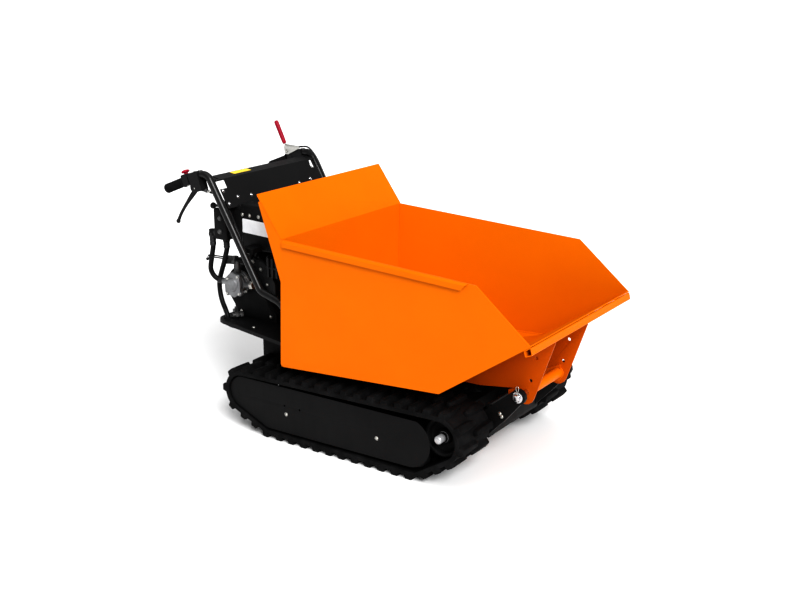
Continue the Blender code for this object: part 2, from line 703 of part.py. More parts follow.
# Chassis
def chassis():
    """The welded frame: rails, cross tubes, front cross plate, pivot lugs and deck plates."""
    made = box("chassis_frame", (RAIL_REAR, -RAIL_MIDDLE - RAIL_WIDTH / 2, RAIL_FOOT),
               (CROSS_PLATE_X, -RAIL_MIDDLE + RAIL_WIDTH / 2, RAIL_TOP))
    tools = [box("rail_left", (RAIL_REAR, RAIL_MIDDLE - RAIL_WIDTH / 2, RAIL_FOOT),
                 (CROSS_PLATE_X, RAIL_MIDDLE + RAIL_WIDTH / 2, RAIL_TOP), cutters)]
    reach = TRACK_MIDDLE - BEAM_OFFSET - BEAM_SHEET - GAP
    for place in CROSS_TUBES:
        tools.append(box("cross_tube", (place - CROSS_TUBE / 2, -reach, CROSS_TUBE_Z - CROSS_TUBE / 2),
                         (place + CROSS_TUBE / 2, reach, CROSS_TUBE_Z + CROSS_TUBE / 2), cutters))
    plate_half = RAIL_MIDDLE + RAIL_WIDTH / 2 + 0.0025
    tools.append(box("cross_plate", (CROSS_PLATE_X - CROSS_PLATE_SHEET, -plate_half, RAIL_FOOT + 0.002),
                     (CROSS_PLATE_X + 0.001, plate_half, CROSS_PLATE_TOP), cutters))
    lug = [(CROSS_PLATE_X - 0.060, RAIL_TOP - 0.004), *arc(PIVOT, LUG_RADIUS, 150, -70, 7),
           (CROSS_PLATE_X + 0.060, CROSS_PLATE_TOP - 0.034), (CROSS_PLATE_X, RAIL_FOOT + 0.012),
           (CROSS_PLATE_X - 0.060, RAIL_FOOT + 0.012)]
    deck_foot = DECK_TOP - DECK_SHEET - GAP
    foot_rear = SIDE_PLATE_EDGE[-1][0] + 0.006
    for side, sign in SIDES:
        tools.append(side_plate(f"lug_{side}", lug, LUG_SHEET, sign * LUG_MIDDLE, cutters))
        upright = [(SIDE_PLATE_EDGE[0][0], deck_foot), *SIDE_PLATE_EDGE[1:],
                   (DECK_FRONT - 0.008, RAIL_FOOT + 0.004), (DECK_FRONT - 0.008, deck_foot)]
        tools.append(side_plate(f"upright_{side}", upright, SIDE_PLATE_SHEET, sign * SIDE_PLATE_MIDDLE, cutters))
        tools.append(side_plate(f"upright_foot_{side}",
                                [(foot_rear, RAIL_FOOT + 0.006), (DECK_FRONT - 0.010, RAIL_FOOT + 0.006),
                                 (DECK_FRONT - 0.010, RAIL_TOP - 0.002), (foot_rear, RAIL_TOP - 0.002)], 0.012,
                                sign * (RAIL_MIDDLE + RAIL_WIDTH / 2 + 0.004), cutters))
        ear_y = sign * (EYE_WIDTH / 2 + GAP + EAR_SHEET / 2)
        ear = [(CROSS_TUBES[0], CROSS_TUBE_Z + 0.014), *arc(CYLINDER_FOOT, 0.018, 80, -80, 4),
               (CROSS_TUBES[0], CROSS_TUBE_Z - 0.014)]
        tools.append(side_plate(f"foot_ear_{side}", ear, EAR_SHEET, ear_y, cutters))
        tools.append(rod(f"bearing_{side}", at(SPROCKET, sign * (RAIL_MIDDLE - RAIL_WIDTH / 2 - 0.004)),
                         at(SPROCKET, sign * (SIDE_PLATE_MIDDLE + 0.010)), SHAFT_RADIUS + 0.011, cutters, 10))
    tools.append(rod("hose_union", HOSE_UNION, HOSE_UNION + Vector((0.016, 0.0, 0.0)), 0.011, cutters, 12))
    weld(made, *tools)
    shaft_bore = rod("shaft_bore", at(SPROCKET, -0.3), at(SPROCKET, 0.3), SHAFT_RADIUS + RUNNING * 2, cutters, 10)
    cut(made, shaft_bore)
    bore = rod("pivot_bore", at(PIVOT, -0.2), at(PIVOT, 0.2), PIN_RADIUS + GAP, cutters, 12)
    foot_bore = rod("foot_bore", at(CYLINDER_FOOT, -0.05), at(CYLINDER_FOOT, 0.05),
                    AXLE_RADIUS + RUNNING, cutters, 12)
    cut(made, bore, foot_bore)
    return hang(made, BLACK)


def deck():
    """The engine deck: a sheet with rounded corners and a flange folded down."""
    corners = [(DECK_REAR, -DECK_REAR_HALF), (DECK_FRONT, -DECK_FRONT_HALF), (DECK_FRONT, DECK_FRONT_HALF),
               (DECK_REAR, DECK_REAR_HALF)]
    radii = [DECK_CORNER, 0.006, 0.006, DECK_CORNER]
    height = DECK_SHEET + DECK_FLANGE
    made = level_plate("deck_plate", rounded(corners, radii), height, DECK_TOP - height / 2)
    inside = [(x + (DECK_SHEET if x < -0.2 else -DECK_SHEET), y - DECK_SHEET * (1 if y > 0 else -1))
              for x, y in corners]
    hollow = level_plate("deck_hollow", rounded(inside, [r - DECK_SHEET / 2 if r > 0.01 else r for r in radii]),
                         0.060, DECK_TOP - DECK_SHEET - 0.030, cutters)
    case_y = -(ENGINE_SIDE + GAP + CASE_WIDTH / 2)
    slot_half = CASE_FOOT_RADIUS + 0.0015
    slot = box("case_slot", (CASE_FOOT[0] - slot_half, case_y - CASE_WIDTH / 2 - 0.002, DECK_TOP - 0.03),
               (CASE_FOOT[0] + slot_half, case_y + CASE_WIDTH / 2 + 0.002, DECK_TOP + 0.03), cutters)
    cut(made, hollow, slot)
    for side, sign in SIDES:
        hole = rod(f"cable_hole_{side}", (CABLE_HOLE[0], sign * CABLE_HOLE[1], DECK_TOP - 0.03),
                   (CABLE_HOLE[0], sign * CABLE_HOLE[1], DECK_TOP + 0.03), 0.011, cutters, 10)
        cut(made, hole)
    x, y = HOSE_HOLE
    cut(made, rod("hose_hole", (x, y, DECK_TOP - 0.03), (x, y, DECK_TOP + 0.03), HOSE_RADIUS + 0.003, cutters, 12))
    return hang(made, BLACK)


def gearbox():
    """The transmission between the tracks, with its shaft bosses and its input boss."""
    half = GEARBOX_WIDTH / 2
    corners = [(GEARBOX_REAR, GEARBOX_FOOT + 0.088), (GEARBOX_REAR + 0.060, GEARBOX_FOOT + 0.020),
               (SPROCKET[0] - 0.030, GEARBOX_FOOT), (GEARBOX_FRONT, GEARBOX_FOOT + 0.012),
               (GEARBOX_FRONT, 0.190), (SPROCKET[0], GEARBOX_TOP), (GEARBOX_REAR, GEARBOX_TOP)]
    made = side_plate("gearbox", rounded(corners, 0.018, 60.0), GEARBOX_WIDTH, 0.0)
    bosses = [rod("shaft_boss", at(SPROCKET, -half - 0.012), at(SPROCKET, half + 0.012), 0.030, cutters, 12)]
    bosses.append(rod("input_boss", at(CASE_FOOT, -half + 0.01), at(CASE_FOOT, -ENGINE_SIDE + GAP), 0.026,
                      cutters, 12))
    for side, sign in SIDES:
        near, far = sorted((sign * (half - 0.008), sign * (RAIL_MIDDLE + RAIL_WIDTH / 2 - 0.004)))
        bosses.append(box(f"gearbox_arm_{side}", (GEARBOX_FRONT - 0.034, near, RAIL_TOP + GAP),
                          (GEARBOX_FRONT - 0.006, far, RAIL_TOP + 0.016), cutters))
    swollen = offset_line([corners[-1], *corners, corners[0]], -SEAM_HEIGHT)[1:-1]
    seam = side_plate("gearbox_seam", rounded(swollen, 0.020, 60.0), SEAM_WIDTH, 0.0, cutters)
    weld(made, *bosses, seam)
    return hang(made, DARK_CAST)


# Skip
def skip_floor(x):
    """Height of the outer face of the skip's floor."""
    (x0, z0), (x1, z1) = SKIP_FLOOR_REAR, SKIP_FLOOR_FRONT
    return z0 + (x - x0) * (z1 - z0) / (x1 - x0)


def skip_slope(x):
    """Height of the outer face of the skip's front slope."""
    (x0, z0), (x1, z1) = SKIP_FLOOR_FRONT, SKIP_LIP
    return z0 + (x - x0) * (z1 - z0) / (x1 - x0)


def offset_line(points, distance):
    """Points moved sideways from an open line, to the left of its direction."""
    moved = []
    for index, point in enumerate(points):
        here = Vector(point)
        heads = []
        if index:
            heads.append((here - Vector(points[index - 1])).normalized())
        if index < len(points) - 1:
            heads.append((Vector(points[index + 1]) - here).normalized())
        normals = [Vector((-head.y, head.x)) for head in heads]
        if len(normals) == 1:
            moved.append(tuple(here + normals[0] * distance))
            continue
        middle = (normals[0] + normals[1]).normalized()
        moved.append(tuple(here + middle * (distance / middle.dot(normals[0]))))
    return moved


def skip_body(pivot):
    """The skip: one bent sheet for back, floor and front slope between two side sheets."""
    half = SKIP_WIDTH / 2
    inset = 0.0005
    line = [SKIP_BACK_TOP, SKIP_FOLD, SKIP_FLOOR_REAR, SKIP_FLOOR_FRONT, SKIP_LIP]
    outer = offset_line(line, inset)
    inner = offset_line(line, SKIP_SHEET)
    band = side_plate("skip_band", outer + inner[::-1], SKIP_WIDTH - SKIP_SHEET, 0.0, cutters)
    rim = [SKIP_FLOOR_REAR, SKIP_FLOOR_FRONT, SKIP_LIP, SKIP_RIM_FRONT, SKIP_FOLD, SKIP_BACK_TOP,
           SKIP_GUSSET_FOOT]
    outline = rounded(rim, [SKIP_CORNER, 0, 0, 0.004, 0, 0.004, 0.008], 30.0)
    made = side_plate("skip_body", outline, SKIP_SHEET, -half + SKIP_SHEET / 2)
    far = side_plate("skip_side_left", outline, SKIP_SHEET, half - SKIP_SHEET / 2, cutters)
    weld(made, band, far)
    for side, sign in SIDES:
        weld(made, hem(side, sign))
    return hang(made, ORANGE, pivot)


def hem(side, sign):
    """The rim folded out and down along the top edge of a side sheet."""
    start = Vector(SKIP_FOLD) + Vector((0.012, -0.0006))
    end = Vector(SKIP_RIM_FRONT) + Vector((-0.025, 0.0012))
    half = SKIP_WIDTH / 2
    section = [(-0.002, 0.0), (HEM_OUT * 0.55, -0.0015), (HEM_OUT, -0.006), (HEM_OUT, -HEM_DROP),
               (HEM_OUT - HEM_SHEET, -HEM_DROP), (HEM_OUT - HEM_SHEET, -0.007),
               (HEM_OUT * 0.45, -0.004), (-0.002, -0.003)]
    bm = bmesh.new()
    rings = []
    for place, slant in ((start, 0.0), (end, -0.9)):
        ring = []
        for out, drop in section:
            shift = slant * -drop
            ring.append(bm.verts.new((place.x + shift, sign * (half + out), place.y + drop)))
        rings.append(ring)
    count = len(section)
    for k in range(count):
        bm.faces.new((rings[0][k], rings[0][(k + 1) % count], rings[1][(k + 1) % count], rings[1][k]))
    bm.faces.new(rings[0])
    bm.faces.new(rings[1])
    return new_mesh(f"hem_{side}", bm, cutters)


def lip_tube(pivot):
    """The square tube under the skip's front lip, open at its ends."""
    half = SKIP_WIDTH / 2
    run = (Vector(SKIP_LIP) - Vector(SKIP_FLOOR_FRONT)).normalized()
    down = Vector((run.y, -run.x))
    front = Vector((0.25, -0.97)).normalized()
    corner = Vector(SKIP_LIP) + down * GAP * 2
    back = corner - run * LIP_TUBE
    corners = [tuple(corner), tuple(corner + front * LIP_TUBE_FRONT), tuple(back + front * LIP_TUBE_REAR), tuple(back)]
    outline = rounded(corners, 0.003, 45.0)
    inside = rounded(offset_line([corners[-1], *corners, corners[0]], -LIP_TUBE_WALL)[1:-1], 0.001, 90.0)
    made = side_plate("skip_lip_tube", outline, SKIP_WIDTH, 0.0, None, (inside,))
    return hang(made, ORANGE, pivot)


def skip_subframe(pivot):
    """Two web plates with their doublers, the pivot sleeve, a cross brace and the cylinder's ears."""
    lift = GAP / cos(atan2(SKIP_LIP[1] - SKIP_FLOOR_FRONT[1], SKIP_LIP[0] - SKIP_FLOOR_FRONT[0]))
    bend = Vector(SKIP_FLOOR_FRONT) + Vector((0.0006, -0.0009))
    web = [(WEB_REAR, skip_floor(WEB_REAR) - GAP), tuple(bend), (WEB_TOP_FRONT, skip_slope(WEB_TOP_FRONT) - lift),
           WEB_NOSE, *arc(LOBE, LOBE_RADIUS, -19, -210, 8), LOBE_REAR,
           (WEB_REAR + 0.180, skip_floor(WEB_REAR + 0.180) - WEB_RIB), (WEB_REAR + 0.060, skip_floor(WEB_REAR) - WEB_RIB)]
    made = side_plate("skip_subframe", web, WEB_SHEET, -WEB_MIDDLE)
    far = side_plate("web_left", web, WEB_SHEET, WEB_MIDDLE, cutters)
    inside = WEB_MIDDLE - WEB_SHEET / 4
    sleeve = rod("pivot_sleeve", at(PIVOT, -inside), at(PIVOT, inside), SLEEVE_RADIUS, cutters, 12)
    brace_top = skip_floor(CLEVIS[0] - 0.064) - GAP
    brace = box("cross_brace", (CLEVIS[0] - 0.064, -inside, brace_top - 0.008),
                (CLEVIS[0] - 0.030, inside, brace_top), cutters)
    doubler = rounded([(PIVOT[0] - 0.062, PIVOT[1] - 0.006), (PIVOT[0] + 0.0087, PIVOT[1] + 0.0302),
                       (PIVOT[0] + 0.0125, PIVOT[1] - 0.0247), (PIVOT[0] - 0.017, PIVOT[1] - 0.035),
                       (PIVOT[0] - 0.062, PIVOT[1] - 0.022)], [0, 0.004, 0.012, 0.012, 0], 45.0)
    doubler_y = WEB_MIDDLE - WEB_SHEET / 4 - DOUBLER_SHEET / 2 - WEB_SHEET / 4
    tools = [far, sleeve, brace]
    for side, sign in SIDES:
        tools.append(side_plate(f"doubler_{side}", doubler, DOUBLER_SHEET + WEB_SHEET / 4,
                                sign * (doubler_y + WEB_SHEET / 8), cutters))
        ear_y = sign * (EYE_WIDTH / 2 + GAP + EAR_SHEET / 2)
        ear_front = CLEVIS[0] + 0.020
        roof = [(CLEVIS[0] - 0.055, skip_floor(CLEVIS[0] - 0.055) - GAP * 2),
                *arc(CLEVIS, CLEVIS_EAR, 190, 350, 5), (ear_front, skip_slope(ear_front) - GAP * 3),
                (SKIP_FLOOR_FRONT[0], SKIP_FLOOR_FRONT[1] - GAP * 3)]
        tools.append(side_plate(f"clevis_ear_{side}", roof, EAR_SHEET, ear_y, cutters))
    weld(made, *tools)
    cut(made, rod("sleeve_bore", at(PIVOT, -0.2), at(PIVOT, 0.2), PIN_RADIUS + RUNNING, cutters, 12))
    for number, place in enumerate(WEB_HOLES, 1):
        cut(made, rod(f"web_hole_{number}", at(place, -0.2), at(place, 0.2), WEB_HOLE_RADIUS, cutters, 8))
    return hang(made, ORANGE, pivot)


def pivot_pins():
    """A headed pin on each side, through the frame's lug into the skip's sleeve."""
    for side, sign in SIDES:
        start = WEB_MIDDLE - 0.030
        washer = LUG_MIDDLE + LUG_SHEET / 2 + 0.0006 - start
        profile = [(0.0, 0.0), (0.0, PIN_RADIUS - 0.001), (0.001, PIN_RADIUS), (washer, PIN_RADIUS),
                   (washer, PIN_WASHER), (washer + 0.003, PIN_WASHER), (washer + 0.003, PIN_RADIUS),
                   (washer + 0.0094, PIN_RADIUS), (washer + 0.0114, PIN_RADIUS - 0.002), (washer + 0.0114, 0.0)]
        made = turned(f"pivot_pin_{side}", profile, at(PIVOT, sign * start), (0, sign, 0), 12)
        hang(shade(made), CHROME)


# Tipping cylinder
def cylinder(barrel_pivot):
    """The hydraulic cylinder between the frame and the skip: barrel, and rod with its eye."""
    foot = at(CYLINDER_FOOT, 0.0)
    head = at(CLEVIS, 0.0)
    along = (head - foot).normalized()
    start = 0.020
    bore = ROD_RADIUS + RUNNING
    wall = BARREL_RADIUS
    end = BARREL_LENGTH
    profile = [(start, 0.0), (start, wall - 0.003), (start + 0.003, wall), (end - 0.022, wall),
               (end - 0.022, wall + 0.004), (end, wall + 0.004), (end, bore), (start + 0.080, bore),
               (start + 0.080, 0.0)]
    barrel = turned("cylinder_barrel", profile, foot, along, 12)
    half = EYE_WIDTH / 2
    eye = rod("barrel_eye", foot + Vector((0, -half, 0)), foot + Vector((0, half, 0)), EYE_RADIUS, cutters, 12)
    neck = box("barrel_neck", (0.002, -half + 0.001, -0.010), (start + 0.010, half - 0.001, 0.010), cutters)
    neck.rotation_euler = (0.0, -atan2(along.z, along.x), 0.0)
    neck.location = foot + along * ((start + 0.012) / 2)
    pin_half = EYE_WIDTH / 2 + GAP + EAR_SHEET + 0.004
    pin = rod("barrel_pin", foot + Vector((0, -pin_half, 0)), foot + Vector((0, pin_half, 0)),
              AXLE_RADIUS, cutters, 10)
    ports = []
    for number, place in enumerate((start + 0.018, end - 0.040), 1):
        base = foot + along * place
        side = Vector((0, -1, 0))
        ports.append(rod(f"port_{number}", base + side * (wall - 0.004), base + side * (wall + 0.012), 0.009,
                         cutters, 8))
    weld(barrel, eye, neck, pin, *ports)
    hang(shade(barrel), BLACK, barrel_pivot)
    reach = (head - foot).length
    profile = [(start + 0.090, 0.0), (start + 0.090, ROD_RADIUS - 0.001), (start + 0.091, ROD_RADIUS),
               (reach - 0.008, ROD_RADIUS), (reach - 0.008, 0.0)]
    made = turned("cylinder_rod", profile, foot, along, 12)
    rod_eye = rod("rod_eye", head + Vector((0, -half, 0)), head + Vector((0, half, 0)), EYE_RADIUS, cutters, 12)
    weld(made, rod_eye)
    hang(shade(made), CHROME, barrel_pivot)


# Engine
def engine():
    """Crankcase with its foot, inclined finned cylinder and rocker cover."""
    right, left = -ENGINE_SIDE, ENGINE_LEFT
    foot = DECK_TOP + GAP
    corners = [(CRANK[0] - 0.060, foot + 0.006), (CRANK[0] + 0.125, foot + 0.006),
               (CRANK[0] + 0.125, CRANK[1] + 0.010), (CRANK[0] + 0.075, CRANK[1] + 0.082),
               (CRANK[0] - 0.020, CRANK[1] + 0.090), (CRANK[0] - 0.060, CRANK[1] + 0.050)]
    made = side_plate("engine_block", rounded(corners, 0.016, 45.0), left - right, (left + right) / 2)
    flange = box("engine_foot", (CRANK[0] - 0.068, right + 0.004, foot), (CRANK[0] + 0.140, left - 0.004, foot + 0.012),
                 cutters)
    lean = radians(24)
    along = Vector((cos(lean), 0, sin(lean)))
    base = Vector((CRANK[0] + 0.070, -0.005, CRANK[1] + 0.012))
    tools = [flange]
    core = box("engine_barrel", (0.0, -0.038, -0.038), (0.125, 0.038, 0.038), cutters)
    fins = []
    for number in range(5):
        place = 0.036 + number * 0.015
        fins.append(box(f"fin_{number}", (place, -0.055, -0.055), (place + 0.005, 0.055, 0.055), cutters))
    head = box("rocker_cover", (0.112, -0.050, -0.050), (0.150, 0.050, 0.050), cutters, 0.010, 1)
    for piece in (core, *fins, head):
        middle = piece.location.copy()
        piece.rotation_euler = (0.0, -lean, 0.0)
        piece.location = base + along * middle.x + Vector((0, middle.y, 0))
        tools.append(piece)
    weld(made, *tools)
    return hang(made, BLACK)


def belt_case():
    """The closed case over the belt from the engine down to the gearbox, on the right."""
    middle = -(ENGINE_SIDE + GAP + CASE_WIDTH / 2)
    shelf = DECK_TOP + GAP * 2
    outline = arc(CRANK, CASE_RADIUS, 20, 205, 12)
    outline += [(CASE_SHOULDER, shelf), (CASE_FOOT[0] - CASE_FOOT_RADIUS, shelf)]
    outline += arc(CASE_FOOT, CASE_FOOT_RADIUS, 180, 360, 6)
    outline += [(CASE_FOOT[0] + CASE_FOOT_RADIUS, shelf + 0.030)]
    made = side_plate("belt_case", outline, CASE_WIDTH, middle)
    soften = made.modifiers.new("round", "BEVEL")
    soften.width = 0.004
    soften.segments = 1
    soften.limit_method = "ANGLE"
    soften.angle_limit = radians(60)
    return hang(made, BLACK)


def pump():
    """The hydraulic gear pump on the case: dark body, and cast cover with its bolt ears."""
    case_face = -(ENGINE_SIDE + GAP + CASE_WIDTH)
    body_start = case_face - GAP
    body_end = body_start - PUMP_BODY_LENGTH
    x, z = PUMP_AXIS
    body = turned("pump_body", [(0.0, 0.0), (0.0, PUMP_BODY_RADIUS), (0.010, PUMP_BODY_RADIUS),
                                (0.012, PUMP_BODY_RADIUS - 0.004), (PUMP_BODY_LENGTH, PUMP_BODY_RADIUS - 0.004),
                                (PUMP_BODY_LENGTH, 0.0)],
                  at(PUMP_AXIS, body_start), (0, -1, 0), 16)
    port = rod("pump_outlet", (x + 0.026, body_start - 0.019, z - 0.004),
               (x + 0.062, body_start - 0.019, z + 0.002), 0.010, cutters, 10)
    nut = rod("pump_outlet_nut", (x + 0.056, body_start - 0.019, z + 0.001),
              (x + 0.070, body_start - 0.019, z + 0.0033), 0.015, cutters, 6)
    weld(body, port, nut)
    hang(shade(body), DARK_CAST)
    w, h = PUMP_COVER_WIDTH / 2, PUMP_COVER_HEIGHT / 2
    corners = [(x - w, z + 0.016), (x - w * 0.10, z + h), (x + w * 0.86, z + h * 0.76), (x + w, z + 0.004),
               (x + w * 0.95, z - h * 0.62), (x + w * 0.24, z - h), (x - w * 0.94, z - h * 0.72)]
    cover_middle = body_end - GAP - PUMP_COVER_SHEET / 2
    made = side_plate("pump_cover", rounded(corners, 0.009, 45.0), PUMP_COVER_SHEET, cover_middle)
    ears = []
    for number, (ex, ez) in enumerate(((x - w * 0.66, z - h * 0.74), (x + w * 0.86, z - h * 0.62),
                                       (x + w * 0.72, z + h * 0.70)), 1):
        ears.append(rod(f"cover_ear_{number}", (ex, cover_middle - 0.007, ez), (ex, cover_middle + 0.0078, ez), 0.008,
                        cutters, 10))
    raised = rod("cover_boss", (x, cover_middle, z), (x, cover_middle - PUMP_COVER_SHEET / 2 - 0.004, z), 0.024,
                 cutters, 16, 0.021)
    socket = rod("inlet_socket", HOSE_INLET, (x - w * 0.5, HOSE_INLET[1], HOSE_INLET[2]), 0.0095, cutters, 10)
    weld(made, *ears, raised, socket)
    hang(shade(made), CAST)


def starter(grip_pivot):
    """Recoil starter on the left: dished round cover and its pull grip."""
    profile = [(0.0, 0.0), (0.0, 0.092), (0.018, 0.092), (0.030, 0.084), (0.052, 0.078), (0.060, 0.066),
               (0.060, 0.030), (0.056, 0.026), (0.056, 0.0)]
    made = turned("recoil_cover", profile, at(CRANK, ENGINE_LEFT + GAP), (0, 1, 0), 18)
    eyelet = rod("rope_eyelet", GRIP_SEAT, GRIP_SEAT + Vector((0.050, 0.0, 0.0)), 0.010, cutters, 12)
    weld(made, eyelet)
    hang(shade(made), BLACK)
    grip = turned("starter_grip", [(0.0, 0.0), (0.0, 0.005), (0.004, 0.007), (0.012, 0.008), (0.018, 0.016),
                                   (0.026, 0.018), (0.031, 0.014), (0.031, 0.0)],
                  GRIP_SEAT - Vector((GAP, 0, 0)), (-1, 0, 0), 12)
    hang(shade(grip), PLASTIC, grip_pivot)


def fuel_system(cap_pivot):
    """Engine fuel tank with its filler cap, air cleaner and muffler."""
    low = (CRANK[0] - 0.068, -0.112, FUEL_FOOT)
    high = (TANK_REAR - 0.005, 0.150, FUEL_FOOT + 0.105)
    made = box("fuel_tank", low, high, None, 0.018, 2)
    saddle = box("fuel_saddle", (CRANK[0] - 0.030, -0.060, CRANK[1] + 0.090 + GAP),
                 (CRANK[0] + 0.030, 0.060, FUEL_FOOT + 0.020), cutters)
    neck = rod("fuel_neck", (FUEL_CAP[0], FUEL_CAP[1], FUEL_CAP[2] - 0.020), FUEL_CAP, 0.018, cutters, 12)
    weld(made, saddle, neck)
    hang(made, BLACK)
    cap = turned("fuel_cap", [(0.0, 0.0), (0.0, 0.024), (0.010, 0.024), (0.014, 0.021), (0.014, 0.0)],
                 Vector(FUEL_CAP) + Vector((0, 0, GAP)), (0, 0, 1), 12)
    hang(shade(cap), PLASTIC, cap_pivot)
    cleaner = box("air_cleaner", (-0.205, 0.064, 0.452), (-0.085, 0.150, 0.535), None, 0.012, 1)
    intake = rod("intake", (-0.150, 0.070, 0.480), (-0.150, 0.0503, 0.480), 0.020, cutters, 10)
    weld(cleaner, intake)
    hang(cleaner, PLASTIC)
    muffler = box("muffler", (-0.222, -0.150, 0.452), (-0.092, -0.072, 0.532), None, 0.016, 1)
    stub = rod("exhaust", (-0.152, -0.080, 0.480), (-0.152, -0.0603, 0.480), 0.016, cutters, 10)
    tools = [stub]
    for number in range(5):
        x = -0.205 + number * 0.021
        tools.append(box(f"guard_{number}", (x, -0.156, 0.462), (x + 0.010, -0.148, 0.522), cutters))
    weld(muffler, *tools)
    hang(muffler, DARK_CAST)


def oil_tank(cap_pivot):
    """The hydraulic oil tank under the console, on its two side lugs between the bars."""
    low = (TANK_REAR, -TANK_HALF, TANK_FOOT)
    high = (TANK_FRONT, TANK_HALF, TANK_TOP)
    made = box("oil_tank", low, high, None, 0.006, 1)
    tools = []
    bar_x = bar_at(TANK_FOOT + 0.010)
    for side, sign in SIDES:
        inner = sign * (TANK_HALF - 0.010)
        outer = sign * (BAR_MIDDLE - BAR_RADIUS - GAP)
        tools.append(box(f"tank_lug_{side}", (bar_x - 0.018, min(inner, outer), TANK_FOOT + 0.002),
                         (bar_x + 0.030, max(inner, outer), TANK_FOOT + 0.018), cutters))
    neck = rod("oil_neck", (OIL_CAP[0], OIL_CAP[1], OIL_CAP[2] - 0.020), OIL_CAP, 0.014, cutters, 12)
    weld(made, *tools, neck)
    hang(made, BLACK)
    cap = turned("oil_cap", [(0.0, 0.0), (0.0, 0.019), (0.008, 0.019), (0.011, 0.016), (0.011, 0.0)],
                 Vector(OIL_CAP) + Vector((0, 0, GAP)), (0, 0, 1), 12)
    hang(shade(cap), PLASTIC, cap_pivot)


def valve(lever_pivot):
    """The control valve under the console: its block with ports, and the lever with a knob."""
    made = box("control_valve", (VALVE_REAR, -VALVE_OUT, VALVE_FOOT),
               (VALVE_REAR + VALVE_LENGTH, -VALVE_OUT + VALVE_WIDTH, VALVE_TOP), None, 0.004, 1)
    middle = -VALVE_OUT + VALVE_WIDTH / 2
    elbow = rod("valve_elbow", (VALVE_REAR + 0.010, middle, VALVE_FOOT + 0.020),
                (HOSE_TOP[0], middle, VALVE_FOOT + 0.018), 0.011, cutters, 12)
    drop = rod("valve_elbow_drop", (HOSE_TOP[0], middle, VALVE_FOOT + 0.026), HOSE_TOP, 0.012, cutters, 12)
    port = rod("valve_port", (LIFT_TOP[0], LIFT_TOP[1], VALVE_FOOT + 0.010), LIFT_TOP, 0.011, cutters, 12)
    spool = rod("valve_spool", (VALVE_REAR + 0.032, middle, VALVE_TOP - 0.008),
                (VALVE_REAR + 0.032, middle, VALVE_TOP + 0.0075), 0.014, cutters, 12)
    fork = box("valve_slot", (VALVE_REAR - 0.010, middle - 0.0046, VALVE_TOP - 0.012),
               (VALVE_REAR + 0.060, middle + 0.0046, VALVE_TOP + 0.03), cutters)
    weld(made, elbow, drop, port, spool)
    cut(made, fork)
    hang(made, BLACK)
    x, z = VALVE_PIVOT
    lever = side_plate("valve_lever", rounded([(x + 0.010, z - 0.005), (x + 0.012, z + 0.005), (x - 0.006, z + 0.008),
                                               (x - 0.034, z + 0.002), (x - 0.034, z - 0.004),
                                               (x - 0.008, z - 0.003)], 0.002, 60.0), 0.008, middle)
    knob = turned("valve_knob", [(0.0, 0.0), (0.0, 0.005), (0.004, 0.009), (0.012, 0.011), (0.018, 0.007), (0.020, 0.0)],
                  (x - 0.028, middle, z - 0.001), (-1, 0, -0.05), 10, cutters)
    weld(lever, knob)
    hang(lever, PLASTIC, lever_pivot)


def hoses():
    """Hydraulic hoses from the valve: one round to the pump, one down through the deck."""
    made = tube("hose_pump", smooth(HOSE_PUMP, 0.022), HOSE_RADIUS, 8)
    hang(made, RUBBER)
    made = tube("hose_lift", smooth(HOSE_LIFT, 0.050), HOSE_RADIUS, 8)
    hang(made, RUBBER)


# Operator end
def bar_direction():
    """Unit direction of the bar's top run, from its tip forward."""
    return (Vector(BAR_TOP) - Vector(BAR_TIP)).normalized()


def bar_point(distance, lift=0.0):
    """A side view point on the bar's top run, at a distance from its tip, lifted square to it."""
    head = bar_direction()
    up = Vector((-head.y, head.x))
    return Vector(BAR_TIP) + head * distance + up * lift


def bar_at(z):
    """Where the bar's long run is at a height."""
    (x0, z0), (x1, z1) = BAR_TOP, BAR_KNEE
    return x0 + (z - z0) * (x1 - x0) / (z1 - z0)


def handlebar(side, sign):
    """One bent tube from the deck up to the grip."""
    y = sign * BAR_MIDDLE
    foot_x = BAR_HEEL[0] + 0.010
    foot_y = sign * BAR_FOOT_MIDDLE
    corners = [at(BAR_TIP, y), at(BAR_TOP, y), at(BAR_KNEE, y), at(BAR_HEEL, y),
               Vector((foot_x, foot_y, DECK_TOP + 0.040)), Vector((foot_x, foot_y, DECK_TOP + GAP))]
    made = tube(f"handlebar_{side}", bent(corners, BAR_BEND, 30.0), BAR_RADIUS, 8)
    return hang(made, BLACK)


def grip(side, sign):
    """The rubber grip, closed at its end and pulled over the bar."""
    bore = (BAR_RADIUS + GAP) / cos(pi / 12)
    outer = GRIP_RADIUS
    end = 0.012
    length = GRIP_LENGTH
    profile = [(-end, 0.0), (-end, outer - 0.003), (-end + 0.004, outer + 0.0005), (0.004, outer + 0.0005)]
    rib = 0.018
    count = int((length - 0.030) / rib)
    for k in range(count):
        place = 0.010 + rib * k
        profile += [(place, outer), (place + rib / 2, outer - 0.0012)]
    profile += [(length - 0.010, outer), (length - 0.004, outer + 0.003), (length, outer + 0.003), (length, bore),
                (-GAP, bore), (-GAP, 0.0)]
    head = bar_direction()
    made = turned(f"grip_{side}", profile, at(BAR_TIP, sign * BAR_MIDDLE), (head.x, 0, head.y), 12)
    return hang(shade(made), RUBBER)


